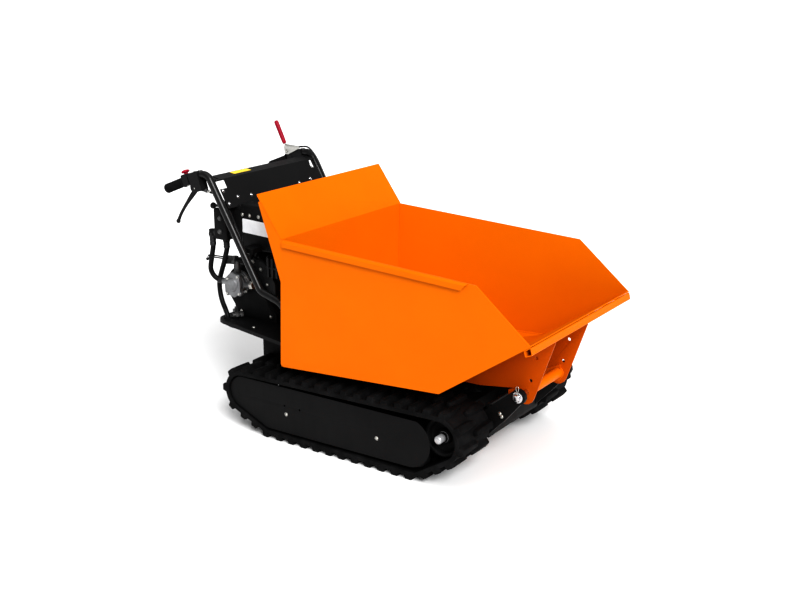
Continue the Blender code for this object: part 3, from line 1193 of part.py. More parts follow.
def console():
    """The bent sheet between the bars, with windows at both ends and the valve's bracket."""
    reach = BAR_MIDDLE - BAR_RADIUS - GAP
    back = (CONSOLE_BACK[0] + 0.004, CONSOLE_BACK[1] - 0.022)
    line = [back, CONSOLE_BACK, CONSOLE_FOLD, CONSOLE_FOOT]
    inner = offset_line(line, -CONSOLE_SHEET)
    made = side_plate("console_panel", line + inner[::-1], 2 * reach, 0.0)
    tools = []
    for side, sign in SIDES:
        near, far = sorted((sign * (reach + 0.010), sign * (reach - WINDOW_WIDTH)))
        tools.append(box(f"window_{side}", (CONSOLE_FOLD[0] - 0.012, near, WINDOW_FOOT),
                         (CONSOLE_FOOT[0], far, CONSOLE_FOLD[1] - CONSOLE_SHEET - 0.0008), cutters))
        near, far = sorted((sign * (reach - 0.012), sign * (reach - 0.020)))
        tools.append(box(f"slot_{side}", (CONSOLE_BACK[0] + 0.008, near, CONSOLE_FOLD[1] - 0.020),
                         (CONSOLE_FOLD[0] - 0.008, far, CONSOLE_BACK[1] + 0.010), cutters))
    cut(made, *tools)
    bracket_y = -VALVE_OUT + VALVE_WIDTH + GAP + 0.002
    plate = [(VALVE_REAR + 0.006, VALVE_FOOT + 0.004), (VALVE_REAR + VALVE_LENGTH - 0.002, VALVE_FOOT + 0.004),
             (CONSOLE_FOOT[0] - 0.0015, CONSOLE_FOOT[1] + 0.001), (CONSOLE_FOOT[0] - 0.0135, CONSOLE_FOOT[1] + 0.0225),
             (VALVE_REAR + 0.014, VALVE_TOP - 0.004), (VALVE_REAR + 0.006, VALVE_TOP - 0.010)]
    weld(made, side_plate("valve_bracket", plate, 0.004, bracket_y, cutters))
    return hang(made, BLACK)


def steering(side, sign, lever_pivot):
    """A lever perch clamped under the bar, and the squeeze lever in its slot."""
    y = sign * BAR_MIDDLE
    head = bar_direction()
    clamp = bar_point(PERCH_ALONG)
    px, pz = STEER_PIVOT
    corners = [tuple(bar_point(PERCH_ALONG - 0.0218, 0.0165)), tuple(bar_point(PERCH_ALONG - 0.0218, -0.016)),
               (px - 0.016, pz - 0.006), (px - 0.004, pz - 0.015), (px + 0.034, pz - 0.004),
               tuple(bar_point(PERCH_ALONG + 0.0218, -0.016)), tuple(bar_point(PERCH_ALONG + 0.0218, 0.0165))]
    made = side_plate(f"lever_perch_{side}", rounded(corners, 0.006, 45.0), 0.033, y)
    bar_bore = rod(f"perch_bore_{side}", at(clamp - head * 0.06, y), at(clamp + head * 0.06, y),
                   BAR_RADIUS + GAP * 2, cutters, 12)
    slot = box(f"perch_slot_{side}", (px - 0.060, y - 0.0043, pz - 0.060), (px + 0.012, y + 0.0043, pz + 0.0105),
               cutters)
    pin_bore = rod(f"perch_pin_bore_{side}", (px, y - 0.03, pz), (px, y + 0.03, pz), 0.0036, cutters, 12)
    adjuster = rod(f"adjuster_{side}", (px + 0.016, y, pz - 0.004), cable_top(sign), 0.005, cutters, 10)
    weld(made, adjuster)
    cut(made, bar_bore, slot, pin_bore)
    hang(made, PLASTIC)
    spine = [(px, pz), (-0.423, 0.732), (-0.453, 0.697), (-0.480, 0.661), (-0.495, 0.634)]
    widths = (0.008, 0.008, 0.0052, 0.0045, 0.0050)
    aside = offset_line(spine, 1.0)
    left_edge = []
    right_edge = []
    for place, far, width in zip(spine, aside, widths):
        out = (Vector(far) - Vector(place)).normalized() * width
        left_edge.append(tuple(Vector(place) + out))
        right_edge.append(tuple(Vector(place) - out))
    outline = right_edge[1:] + left_edge[::-1][:-1] + arc(STEER_PIVOT, 0.0085, -40, 130, 5)
    lever = side_plate(f"steering_lever_{side}", outline, 0.0076, y)
    tip = spine[-1]
    ball = rod(f"lever_ball_{side}", at(tip, y - 0.0065), at(tip, y + 0.0065), 0.0078, cutters, 12)
    pin = rod(f"lever_pin_{side}", (px, y - 0.0150, pz), (px, y + 0.0150, pz), 0.003, cutters, 10)
    weld(lever, ball, pin)
    hang(lever, PLASTIC, lever_pivot)


def clutch(lever_pivot):
    """The drive clutch lever on the left bar: clamp, zinc plate and red sleeve."""
    head = bar_direction()
    clamp = bar_point(CLUTCH_ALONG)
    half = 0.017
    reach = 0.0105
    corners = [tuple(bar_point(CLUTCH_ALONG - reach, -half)), tuple(bar_point(CLUTCH_ALONG + reach, -half)),
               tuple(bar_point(CLUTCH_ALONG + reach, half + 0.018)),
               tuple(bar_point(CLUTCH_ALONG - reach, half + 0.018))]
    made = side_plate("clutch_clamp", rounded(corners, 0.004, 45.0), 2 * half, BAR_MIDDLE)
    bar_bore = rod("clamp_bore", at(clamp - head * 0.06, BAR_MIDDLE), at(clamp + head * 0.06, BAR_MIDDLE),
                   BAR_RADIUS + GAP * 2, cutters, 12)
    px, pz = CLUTCH_PIVOT
    pin_bore = rod("clutch_pin_bore", (px, BAR_MIDDLE - 0.03, pz), (px, BAR_MIDDLE + 0.03, pz), 0.0046, cutters, 12)
    cut(made, bar_bore, pin_bore)
    hang(made, PLASTIC)
    sheet = 0.004
    plate_y = BAR_MIDDLE - half - GAP * 2 - sheet / 2
    corners = [(px - 0.008, pz - 0.010), (px + 0.008, pz - 0.010), (px + 0.060, pz + 0.016),
               (px + 0.060, pz + 0.023), (px - 0.006, pz + 0.026), (px - 0.012, pz + 0.016)]
    plate = side_plate("clutch_lever", rounded(corners, 0.004, 45.0), sheet, plate_y)
    pin = rod("clutch_pin", (px, plate_y - 0.0045, pz), (px, BAR_MIDDLE + half - 0.002, pz), 0.004, cutters, 10)
    tip = Vector(CLUTCH_TIP)
    base = Vector((px - 0.002, pz + 0.014))
    run = (tip - base).normalized()
    reach = (tip - base).length
    tang = rod("clutch_tang", at(base, plate_y), at(base + run * (reach - 0.008), plate_y), 0.0024, cutters, 8)
    weld(plate, pin, tang)
    hang(plate, ZINC, lever_pivot)
    start = 0.015
    bore = 0.0024 + GAP
    profile = [(reach - 0.006, 0.0), (reach - 0.006, bore), (start, bore), (start, 0.0050), (start + 0.006, 0.0062),
               (reach - 0.006, 0.0066), (reach, 0.0045), (reach, 0.0)]
    sleeve = turned("clutch_sleeve", profile, at(base, plate_y), (run.x, 0, run.y), 12)
    hang(shade(sleeve), RED, lever_pivot)


def engine_stop(button_pivot):
    """The engine stop housing clamped on the right bar, and its red button."""
    y = -BAR_MIDDLE
    head = bar_direction()
    up = Vector((-head.y, head.x))
    half = 0.0165
    corners = [tuple(bar_point(STOP_ALONG - 0.013, -half)), tuple(bar_point(STOP_ALONG + 0.014, -half)),
               tuple(bar_point(STOP_ALONG + 0.014, half)), tuple(bar_point(STOP_ALONG + 0.010, half + 0.0045)),
               tuple(bar_point(STOP_ALONG - 0.013, half + 0.0045))]
    made = side_plate("stop_housing", rounded(corners, 0.004, 45.0), 2 * half, y)
    foot = bar_point(STOP_ALONG)
    bar_bore = rod("stop_bore", at(foot - head * 0.05, y), at(foot + head * 0.05, y), BAR_RADIUS + GAP * 2, cutters, 12)
    well = rod("stop_well", at(foot + up * (BAR_RADIUS + 0.0025), y), at(foot + up * 0.05, y), 0.0078, cutters, 16)
    cut(made, bar_bore, well)
    hang(made, PLASTIC)
    rest = STOP_REST
    profile = [(-0.0014, 0.0), (-0.0014, 0.0070), (0.0046, 0.0070), (0.0046, 0.0120), (0.0076, 0.0140),
               (0.0110, 0.0135), (0.0136, 0.0095), (0.0142, 0.0)]
    button = turned("stop_button", profile, at(bar_point(STOP_ALONG, rest), y), (up.x, 0, up.y), 16)
    hang(shade(button), RED, button_pivot)


def cables():
    """Sheathed cables: two from the steering levers and one from the drive clutch lever."""
    for side, sign in SIDES:
        top = cable_top(sign)
        shift = -0.0055 if side == "left" else 0.0
        past_tank = sign * (TANK_HALF + 0.026)
        hole = sign * CABLE_HOLE[1]
        route = [top + Vector((GAP * 3, 0, 0)), top + Vector((0.012, 0, -0.003)), (-0.318, sign * 0.246, 0.732),
                 (-0.2875, sign * 0.238, 0.690), (-0.260, past_tank, 0.620), (-0.247, past_tank - sign * 0.002, 0.560),
                 (-0.228, sign * 0.220, 0.480), (-0.190, sign * 0.186, 0.390),
                 (CABLE_HOLE[0] + shift, hole, DECK_TOP + 0.018), (CABLE_HOLE[0] + shift, hole, DECK_TOP - 0.017),
                 (CABLE_HOLE[0] + 0.003, hole - sign * 0.012, 0.228), (CABLE_HOLE[0] + 0.012, sign * 0.108, 0.197),
                 (CABLE_HOLE[0] + 0.012, sign * (GEARBOX_WIDTH / 2 + GAP * 2), 0.197)]
        hang(tube(f"steering_cable_{side}", smooth(route, 0.055), 0.003, 6), PLASTIC)
    start = bar_point(CLUTCH_ALONG + 0.0105 + GAP * 2, 0.0275)
    route = [at(start, 0.262), at(bar_point(CLUTCH_ALONG + 0.026, 0.0275), 0.262), (-0.385, 0.258, 0.824),
             (-0.346, 0.252, 0.824), (-0.305, 0.246, 0.790),
             (-0.262, 0.240, 0.725), (-0.205, TANK_HALF + 0.030, 0.640), (-0.166, TANK_HALF + 0.026, 0.570),
             (-0.140, 0.220, 0.500), (-0.146, 0.186, 0.400), (CABLE_HOLE[0] + 0.0055, CABLE_HOLE[1], DECK_TOP + 0.018),
             (CABLE_HOLE[0] + 0.0055, CABLE_HOLE[1], DECK_TOP - 0.017), (-0.142, 0.130, 0.225), (-0.128, 0.108, 0.186),
             (-0.128, GEARBOX_WIDTH / 2 + GAP * 2, 0.186)]
    hang(tube("clutch_cable", smooth(route, 0.055), 0.003, 6), PLASTIC)


def cable_top(sign):
    """Where a steering cable meets its perch."""
    return Vector((STEER_PIVOT[0] + 0.044, sign * BAR_MIDDLE, STEER_PIVOT[1] - 0.006))


# Places that several pieces share
HOSE_RADIUS = 0.0085
TANK_REAR = -0.270
TANK_FRONT = -0.085
TANK_HALF = 0.205
TANK_FOOT = 0.560
TANK_TOP = 0.710
OIL_CAP = (-0.215, 0.120, TANK_TOP + 0.006)
FUEL_FOOT = 0.535
FUEL_CAP = (CRANK[0] - 0.010, 0.060, FUEL_FOOT + 0.112)
VALVE_REAR = -0.354
VALVE_LENGTH = 0.056
VALVE_WIDTH = 0.042
VALVE_OUT = 0.246
VALVE_FOOT = 0.588
VALVE_TOP = 0.692
VALVE_PIVOT = (VALVE_REAR + 0.022, VALVE_TOP + 0.0045)
HOSE_TOP = (VALVE_REAR - 0.026, -VALVE_OUT + VALVE_WIDTH / 2, VALVE_FOOT + 0.006)
LIFT_TOP = (VALVE_REAR + 0.027, -VALVE_OUT + VALVE_WIDTH - 0.012, VALVE_FOOT - 0.012)
PUMP_COVER_FACE = -(ENGINE_SIDE + 2 * GAP + CASE_WIDTH + PUMP_BODY_LENGTH + PUMP_COVER_SHEET)
HOSE_INLET = (PUMP_AXIS[0] - PUMP_COVER_WIDTH / 2 - 0.009, PUMP_COVER_FACE + PUMP_COVER_SHEET / 2 - 0.002,
              PUMP_AXIS[1] + 0.006)
HOSE_HOLE = (-0.350, -0.200)
HOSE_UNION = Vector((0.138, -0.045, CROSS_TUBE_Z))
CABLE_HOLE = (-0.165, 0.143)
GRIP_SEAT = Vector((CRANK[0] - 0.100, ENGINE_LEFT + 0.030, CRANK[1] + 0.040))
STOP_REST = 0.0165 + 0.0045
CLUTCH_PIVOT = tuple(bar_point(CLUTCH_ALONG - 0.001, 0.0245))
CLUTCH_TIP = (-0.492, 0.911)

HOSE_PUMP = [(HOSE_TOP[0], HOSE_TOP[1], HOSE_TOP[2] - GAP), (HOSE_TOP[0], HOSE_TOP[1], HOSE_TOP[2] - 0.020),
             (-0.381, -0.224, 0.553), (-0.392, -0.221, 0.516), (-0.405, -0.215, 0.472), (-0.3965, -0.209, 0.446),
             (HOSE_INLET[0] - 0.015, HOSE_INLET[1] - 0.002, HOSE_INLET[2] + 0.002),
             (HOSE_INLET[0] - 0.006, HOSE_INLET[1], HOSE_INLET[2]), (HOSE_INLET[0] - GAP, HOSE_INLET[1], HOSE_INLET[2])]
HOSE_LIFT = [(LIFT_TOP[0], LIFT_TOP[1], LIFT_TOP[2] - GAP), (LIFT_TOP[0], LIFT_TOP[1], LIFT_TOP[2] - 0.018),
             (-0.330, -0.213, 0.548), (-0.352, -0.206, 0.498), (-0.3915, -0.184, 0.441), (-0.399, -0.183, 0.405),
             (-0.387, -0.188, 0.360), (HOSE_HOLE[0] - 0.003, HOSE_HOLE[1], DECK_TOP + 0.012),
             (HOSE_HOLE[0], HOSE_HOLE[1], DECK_TOP - 0.017),
             (-0.338, -0.176, 0.268), (-0.318, -0.142, 0.260), (-0.296, -0.115, 0.256), (-0.262, -0.106, 0.256),
             (-0.180, -0.106, 0.256), (-0.110, -0.105, 0.254), (-0.050, -0.104, 0.226), (0.020, -0.092, 0.168),
             (0.085, -0.064, 0.126), (HOSE_UNION[0] - 0.020, HOSE_UNION[1], HOSE_UNION[2]),
             (HOSE_UNION[0] - GAP, HOSE_UNION[1], HOSE_UNION[2])]


def main():
    """Build every piece."""
    skip_pivot = axis_empty("skip_axis", (PIVOT[0], 0.0, PIVOT[1]))
    barrel_pivot = axis_empty("cylinder_axis", (CYLINDER_FOOT[0], 0.0, CYLINDER_FOOT[1]))
    for side, sign in SIDES:
        track(side, sign)
        cover(side, sign)
        beam(side, sign)
        sprocket(side, sign)
        idler(side, sign)
        rollers(side, sign)
        handlebar(side, sign)
        grip(side, sign)
        pivot = axis_empty(f"steering_axis_{side}", (STEER_PIVOT[0], sign * BAR_MIDDLE, STEER_PIVOT[1]))
        steering(side, sign, pivot)
    chassis()
    deck()
    gearbox()
    skip_body(skip_pivot)
    lip_tube(skip_pivot)
    skip_subframe(skip_pivot)
    pivot_pins()
    cylinder(barrel_pivot)
    engine()
    belt_case()
    pump()
    starter(axis_empty("starter_axis", tuple(GRIP_SEAT)))
    fuel_system(axis_empty("fuel_cap_axis", FUEL_CAP))
    oil_tank(axis_empty("oil_cap_axis", OIL_CAP))
    valve(axis_empty("valve_axis", (VALVE_PIVOT[0], -VALVE_OUT + VALVE_WIDTH / 2, VALVE_PIVOT[1])))
    console()
    clutch(axis_empty("clutch_axis", (CLUTCH_PIVOT[0], BAR_MIDDLE, CLUTCH_PIVOT[1])))
    stop = bar_point(STOP_ALONG, STOP_REST)
    engine_stop(axis_empty("stop_axis", (stop.x, -BAR_MIDDLE, stop.y)))
    hoses()
    cables()


main()
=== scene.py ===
"""Looks of the tracked mini dumper: materials, fittings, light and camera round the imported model.

Forms are built in millimetres, in the frame of the model's source, which starts at the foot of the
skip's rear wall fold. INTO_FRAME takes them to the shared frame, whose origin lies under the middle
of the machine. A form is a list of shells, and a shell is its points and its faces.
"""

import json
from itertools import chain
from math import asin, atan2, ceil, cos, degrees, hypot, pi, radians, sin

import bmesh
import bpy
from mathutils import Matrix, Vector


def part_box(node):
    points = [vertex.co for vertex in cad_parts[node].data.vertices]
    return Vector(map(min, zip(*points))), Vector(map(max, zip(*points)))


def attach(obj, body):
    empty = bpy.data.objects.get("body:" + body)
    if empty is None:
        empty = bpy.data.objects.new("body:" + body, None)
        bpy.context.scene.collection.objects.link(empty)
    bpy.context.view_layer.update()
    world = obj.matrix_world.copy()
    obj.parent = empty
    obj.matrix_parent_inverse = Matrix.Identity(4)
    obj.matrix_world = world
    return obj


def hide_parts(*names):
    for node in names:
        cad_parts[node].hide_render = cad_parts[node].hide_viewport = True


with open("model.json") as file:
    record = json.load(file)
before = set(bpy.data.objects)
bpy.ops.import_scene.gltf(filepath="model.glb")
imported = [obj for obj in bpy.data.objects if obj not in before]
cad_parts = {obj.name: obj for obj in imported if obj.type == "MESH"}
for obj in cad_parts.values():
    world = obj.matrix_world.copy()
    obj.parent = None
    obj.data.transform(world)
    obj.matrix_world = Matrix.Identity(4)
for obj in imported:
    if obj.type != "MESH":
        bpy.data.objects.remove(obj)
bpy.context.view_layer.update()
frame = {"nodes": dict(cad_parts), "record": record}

MM = 0.001
GROUND = -18.0
INTO_FRAME = Matrix.Translation((-0.169325, 0.0, -GROUND * MM)) @ Matrix.Scale(MM, 4)
SIDES = (("right", -1), ("left", 1))
UP = (0, 0, 1)
BODY_OF = {node: body for body, nodes in frame["record"]["behaviour"]["bodies"].items() for node in nodes}
SLOT_OF = {entry["node"]: entry["material_slot"] for entry in frame["record"]["subparts"]}


# Materials
def blank(name, roughness, metallic=0.0, **sockets):
    """A Principled material with its uniform values on the shader's own sockets."""
    made = bpy.data.materials.new(name)
    made.use_nodes = True
    shader = made.node_tree.nodes["Principled BSDF"]
    shader.inputs["Roughness"].default_value = roughness
    shader.inputs["Metallic"].default_value = metallic
    for socket, value in sockets.items():
        shader.inputs[socket.replace("_", " ")].default_value = value
    return made


def noise(look, scale, detail=2.0, roughness=0.5, stretch=(1.0, 1.0, 1.0), cells=False):
    """The factor of a noise, or the distance of a cell pattern, in object space."""
    tree = look.node_tree
    places = tree.nodes.new("ShaderNodeTexCoord")
    squeeze = tree.nodes.new("ShaderNodeMapping")
    squeeze.inputs["Scale"].default_value = stretch
    tree.links.new(places.outputs["Object"], squeeze.inputs["Vector"])
    pattern = tree.nodes.new("ShaderNodeTexVoronoi" if cells else "ShaderNodeTexNoise")
    pattern.inputs["Scale"].default_value = scale
    if not cells:
        pattern.inputs["Detail"].default_value = detail
        pattern.inputs["Roughness"].default_value = roughness
    tree.links.new(squeeze.outputs["Vector"], pattern.inputs["Vector"])
    return pattern.outputs["Distance" if cells else "Fac"]


def spread(look, factor, low, high, start=0.3, end=0.7):
    """A factor spread between two values."""
    step = look.node_tree.nodes.new("ShaderNodeMapRange")
    for socket, value in (("From Min", start), ("From Max", end), ("To Min", low), ("To Max", high)):
        step.inputs[socket].default_value = value
    look.node_tree.links.new(factor, step.inputs["Value"])
    return step.outputs["Result"]


def tint(look, factor, first, second):
    """A colour between two, by a factor."""
    mix = look.node_tree.nodes.new("ShaderNodeMix")
    mix.data_type = "RGBA"
    look.node_tree.links.new(factor, mix.inputs["Factor"])
    for socket, colour in ((mix.inputs[6], first), (mix.inputs[7], second)):
        if hasattr(colour, "links"):
            look.node_tree.links.new(colour, socket)
        else:
            socket.default_value = (*colour, 1.0)
    return mix.outputs[2]


def feed(look, socket, value):
    """Link a value to one of the shader's sockets."""
    look.node_tree.links.new(value, look.node_tree.nodes["Principled BSDF"].inputs[socket])


def bump(look, *layers):
    """Bump from layers of (factor, distance in metres)."""
    tree = look.node_tree
    below = None
    for factor, distance in layers:
        step = tree.nodes.new("ShaderNodeBump")
        step.inputs["Strength"].default_value = 1.0
        step.inputs["Distance"].default_value = distance
        tree.links.new(factor, step.inputs["Height"])
        if below:
            tree.links.new(below, step.inputs["Normal"])
        below = step.outputs["Normal"]
    feed(look, "Normal", below)


def painted(name, colour, worn, roughness, peel, specular):
    """Powder coat: a fine orange peel, patches a little duller, and faint handling marks."""
    look = blank(name, roughness, Specular_IOR_Level=specular)
    broad = noise(look, 7.0, 3.0, 0.55)
    marks = noise(look, 38.0, 5.0, 0.7, (1.0, 1.0, 0.25))
    feed(look, "Base Color", tint(look, spread(look, broad, 0.0, 1.0), colour, worn))
    feed(look, "Roughness", spread(look, marks, roughness - 0.05, roughness + 0.08))
    bump(look, (noise(look, 420.0), peel), (noise(look, 60.0, 1.0), peel * 1.6))
    return look


def rubbery(name, dark, light, roughness, pores, patch=16.0):
    """Moulded rubber: a greyish bloom in patches over fine pores."""
    look = blank(name, roughness, Specular_IOR_Level=0.10)
    bloom = noise(look, patch, 4.0, 0.65)
    speck = noise(look, 210.0, 3.0, 0.6)
    both = tint(look, spread(look, bloom, 0.0, 1.0, 0.42, 0.72), dark, light)
    feed(look, "Base Color", tint(look, spread(look, speck, 0.0, 0.35, 0.45, 0.75), both, light))
    feed(look, "Roughness", spread(look, speck, roughness - 0.07, roughness + 0.06))
    bump(look, (noise(look, 900.0, 2.0, 0.6), pores), (bloom, pores * 2.0))
    return look


def moulded(name, colour, second, roughness, grain, cells=1300.0):
    """Moulded plastic with a fine spark-eroded grain."""
    look = blank(name, roughness, Specular_IOR_Level=0.16)
    broad = noise(look, 30.0)
    feed(look, "Base Color", tint(look, spread(look, broad, 0.0, 1.0), colour, second))
    feed(look, "Roughness", spread(look, broad, roughness - 0.04, roughness + 0.06))
    bump(look, (noise(look, cells, cells=True), grain))
    return look


def metal(name, colour, second, roughness, texture, scale=26.0, fine=900.0, metallic=1.0):
    """Bare or plated metal: cloudy tint, uneven shine and a fine surface."""
    look = blank(name, roughness, metallic)
    cloud = noise(look, scale, 4.0, 0.6)
    lines = noise(look, fine, 3.0, 0.6)
    feed(look, "Base Color", tint(look, spread(look, cloud, 0.0, 1.0), colour, second))
    feed(look, "Roughness", spread(look, lines, max(0.04, roughness - 0.10), roughness + 0.12))
    bump(look, (lines, texture))
    return look


def film(name, colour, second):
    """Label film: a faint cloud in its colour, slightly glossy."""
    look = blank(name, 0.38, Specular_IOR_Level=0.3)
    cloud = noise(look, 60.0, 3.0, 0.6)
    feed(look, "Base Color", tint(look, spread(look, cloud, 0.0, 1.0), colour, second))
    feed(look, "Roughness", spread(look, noise(look, 240.0, 3.0), 0.30, 0.46))
    bump(look, (noise(look, 500.0), 0.000008))
    return look


LOOKS = {
    "orange_paint": painted("orange_coat", (0.610, 0.142, 0.0002), (0.595, 0.135, 0.0002), 0.40, 0.00004,
                            0.07),
    "black_paint": painted("black_coat", (0.0085, 0.0085, 0.0088), (0.0110, 0.0110, 0.0112), 0.50, 0.00003,
                           0.10),
    "rubber": rubbery("track_rubber", (0.0048, 0.0048, 0.0050), (0.0125, 0.0125, 0.0130), 0.72, 0.00012),
    "black_plastic": moulded("black_moulding", (0.0085, 0.0085, 0.0088), (0.0120, 0.0120, 0.0124), 0.50,
                             0.00006),
    "black_tank": painted("tank_coat", (0.0070, 0.0070, 0.0072), (0.0095, 0.0095, 0.0097), 0.42, 0.00003,
                          0.14),
    "red_plastic": moulded("red_vinyl", (0.27, 0.004, 0.021), (0.23, 0.003, 0.018), 0.40, 0.00003, 700.0),
    "zinc_steel": metal("zinc_plate", (0.56, 0.55, 0.52), (0.42, 0.42, 0.40), 0.34, 0.00001),
    "polished_steel": metal("bright_steel", (0.66, 0.66, 0.67), (0.55, 0.55, 0.56), 0.18, 0.000004),
    "cast_aluminium": metal("sand_cast_alloy", (0.27, 0.275, 0.28), (0.18, 0.18, 0.185), 0.50, 0.00016, 40.0,
                            520.0, 0.85),
    "black_alloy": metal("black_alloy_coat", (0.018, 0.018, 0.019), (0.011, 0.011, 0.012), 0.52, 0.00010,
                         fine=420.0, metallic=0.3),
    "dark_casting": metal("dark_iron", (0.030, 0.030, 0.031), (0.016, 0.016, 0.017), 0.52, 0.00014, 30.0,
                          380.0, 0.5),
}
PAINTED_LIGHT_AND_SHADE_LOOKS = {
    # Painted shade: the subframe's orange is darker than the skip's, for the shadow its webs stand in under
    # the skip.
    "skip_subframe": painted("web_painted_shade_coat", (0.440, 0.080, 0.0002), (0.420, 0.075, 0.0002), 0.42, 0.00004, 0.07),
    # Painted light: the console's black is lighter than the other black paint, for its upward facing sheet
    # that the key lights.
    "console_panel": painted("console_painted_light_coat", (0.0115, 0.0115, 0.0118), (0.0135, 0.0135, 0.0138), 0.46,
                             0.00003, 0.12),
}
BOLT_LOOK = metal("bright_bolt", (0.50, 0.50, 0.51), (0.38, 0.38, 0.39), 0.28, 0.00001, metallic=0.45)
DULL_LOOK = metal("dull_zinc", (0.105, 0.105, 0.105), (0.060, 0.060, 0.060), 0.42, 0.00001, metallic=0.5)
WHITE_FILM = film("white_film", (0.80, 0.81, 0.82), (0.72, 0.73, 0.75))
YELLOW_FILM = film("yellow_film", (0.86, 0.62, 0.05), (0.78, 0.55, 0.04))
BAR_LOOK = painted("bar_coat", (0.0075, 0.0075, 0.0078), (0.0100, 0.0100, 0.0102), 0.28, 0.00002, 0.26)
HOSE_LOOK = rubbery("hose_rubber", (0.0060, 0.0060, 0.0062), (0.0120, 0.0120, 0.0125), 0.42, 0.00005, 40.0)
CABLE_LOOK = moulded("cable_sheath", (0.0320, 0.0320, 0.0330), (0.0240, 0.0240, 0.0250), 0.40, 0.00003)

for node_name, node_object in frame["nodes"].items():
    slots = node_object.data.materials
    if not slots:
        slots.append(None)
    for index in range(len(slots)):
        slots[index] = LOOKS[SLOT_OF[node_name]]


# Making pieces
def settle(name, bm, node, slot, look=None, angle=35.0, stands=False):
    """Turn a bmesh of the shared frame into a piece that rides on a node's body, or stands for it."""
    bmesh.ops.recalc_face_normals(bm, faces=bm.faces)
    mesh = bpy.data.meshes.new(name)
    bm.to_mesh(mesh)
    bm.free()
    mesh.materials.append(look or LOOKS[slot])
    mesh.shade_smooth()
    mesh.set_sharp_from_angle(angle=radians(angle))
    made = bpy.data.objects.new(name, mesh)
    bpy.context.scene.collection.objects.link(made)
    body = BODY_OF[node]
    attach(made, body)
    if stands:
        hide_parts(node)
    return made


def piece(name, node, slot, *forms, look=None, angle=40.0, stands=False):
    """Join forms into one piece, none of it below the floor. Edges over the angle stay sharp."""
    bm = bmesh.new()
    for points, faces in chain(*forms):
        verts = [bm.verts.new(point) for point in points]
        for face in faces:
            bm.faces.new([verts[k] for k in face])
    bm.transform(INTO_FRAME)
    for vert in bm.verts:
        vert.co.z = max(vert.co.z, 0.0)
    return settle(name, bm, node, slot, look, angle, stands)


def stand_in(node, *forms, name=None, slot=None, look=None, angle=32.0):
    """Join forms into the finer piece that takes a node's place."""
    return piece(name or f"{node}_fine", node, slot or SLOT_OF[node], *forms, look=look, angle=angle,
                 stands=True)


def soften(made, width, segments=2, angle=32.0):
    """Round a piece's sharp edges."""
    step = made.modifiers.new("edges", "BEVEL")
    step.width = width * MM
    step.segments = segments
    step.limit_method = "ANGLE"
    step.angle_limit = radians(angle)
    step.harden_normals = True


def rounded_copies(*rows):
    """The forms of CAD nodes with their edges rounded: rows of (node, width, segments)."""
    for node, width, segments in rows:
        bm = bmesh.new()
        bm.from_mesh(frame["nodes"][node].data)
        bmesh.ops.remove_doubles(bm, verts=bm.verts, dist=0.000002)
        soften(settle(f"{node}_fine", bm, node, SLOT_OF[node], PAINTED_LIGHT_AND_SHADE_LOOKS.get(node), 32.0, True), width,
               segments)


def turned(profile, start, direction, steps=24, open_ends=False):
    """A form spun round an axis: (distance along it, radius) pairs, led to the axis at both ends.

    With open ends, a profile that starts off the axis is closed on itself, as a sleeve is.
    """
    if not open_ends:
        (first, first_radius), (last, last_radius) = profile[0], profile[-1]
        profile = [(first, 0)] * (first_radius > 0) + [*profile] + [(last, 0)] * (last_radius > 0)
    head = Vector(direction).normalized()
    side = head.orthogonal().normalized()
    up = head.cross(side)
    points, rings = [], []
    for along, radius in profile:
        centre = Vector(start) + head * along
        ring = [centre + (side * cos(2 * pi * k / steps) + up * sin(2 * pi * k / steps)) * radius
                for k in range(steps if radius > 0 else 1)]
        rings.append(range(len(points), len(points) + len(ring)))
        points += ring
    pairs = list(zip(rings, rings[1:]))
    if profile[0][1] > 0:
        pairs.append((rings[-1], rings[0]))
    faces = []
    for first, second in pairs:
        for k in range(steps):
            corners = dict.fromkeys((first[k % len(first)], first[(k + 1) % len(first)],
                                     second[(k + 1) % len(second)], second[k % len(second)]))
            if len(corners) > 2:
                faces.append(list(corners))
    return [(points, faces)]


def skinned(rings, closed=False):
    """A skin over rings of equal count: capped at both ends, or led back to the first ring."""
    count = len(rings[0])
    layers = [[n * count + k for k in range(count)] for n in range(len(rings))]
    pairs = list(zip(layers, layers[1:] + layers[:1] if closed else layers[1:]))
    faces = [(a[k], a[(k + 1) % count], b[(k + 1) % count], b[k]) for a, b in pairs for k in range(count)]
    if not closed:
        faces += [layers[0][::-1], layers[-1]]
    return [([point for ring in rings for point in ring], faces)]


def tube(points, radius, sides=8, ripple=None):
    """A round tube along points, closed at its ends. ripple(k, turn) changes its radius."""
    points = [Vector(p) for p in points]
    normal = (points[1] - points[0]).orthogonal().normalized()
    rings = []
    for k, here in enumerate(points):
        ahead = (points[min(k + 1, len(points) - 1)] - points[max(k - 1, 0)]).normalized()
        normal = (normal - ahead * normal.dot(ahead)).normalized()
        across_it = ahead.cross(normal)
        rings.append([])
        for j in range(sides):
            turn = 2 * pi * j / sides
            reach = radius * (ripple(k, turn) if ripple else 1.0)
            rings[-1].append(here + (normal * cos(turn) + across_it * sin(turn)) * reach)
    return skinned(rings)


def smooth(route, spacing):
    """Points of a smooth curve (Catmull-Rom) through a route, about one each spacing."""
    route = [Vector(place) for place in route]
    knots = [route[0] * 2 - route[1], *route, route[-1] * 2 - route[-2]]
    points = [route[0]]
    for a, b, c, d in zip(knots, knots[1:], knots[2:], knots[3:]):
        count = max(1, round((c - b).length / spacing))
        for k in range(1, count + 1):
            t = k / count
            points.append(0.5 * (2 * b + (c - a) * t + (2 * a - 5 * b + 4 * c - d) * t * t
                                 + (3 * b - a - 3 * c + d) * t ** 3))
    return points


def hose(route, spacing, radius, sides):
    """A smooth tube through a route."""
    return tube(smooth(route, spacing), radius, sides)


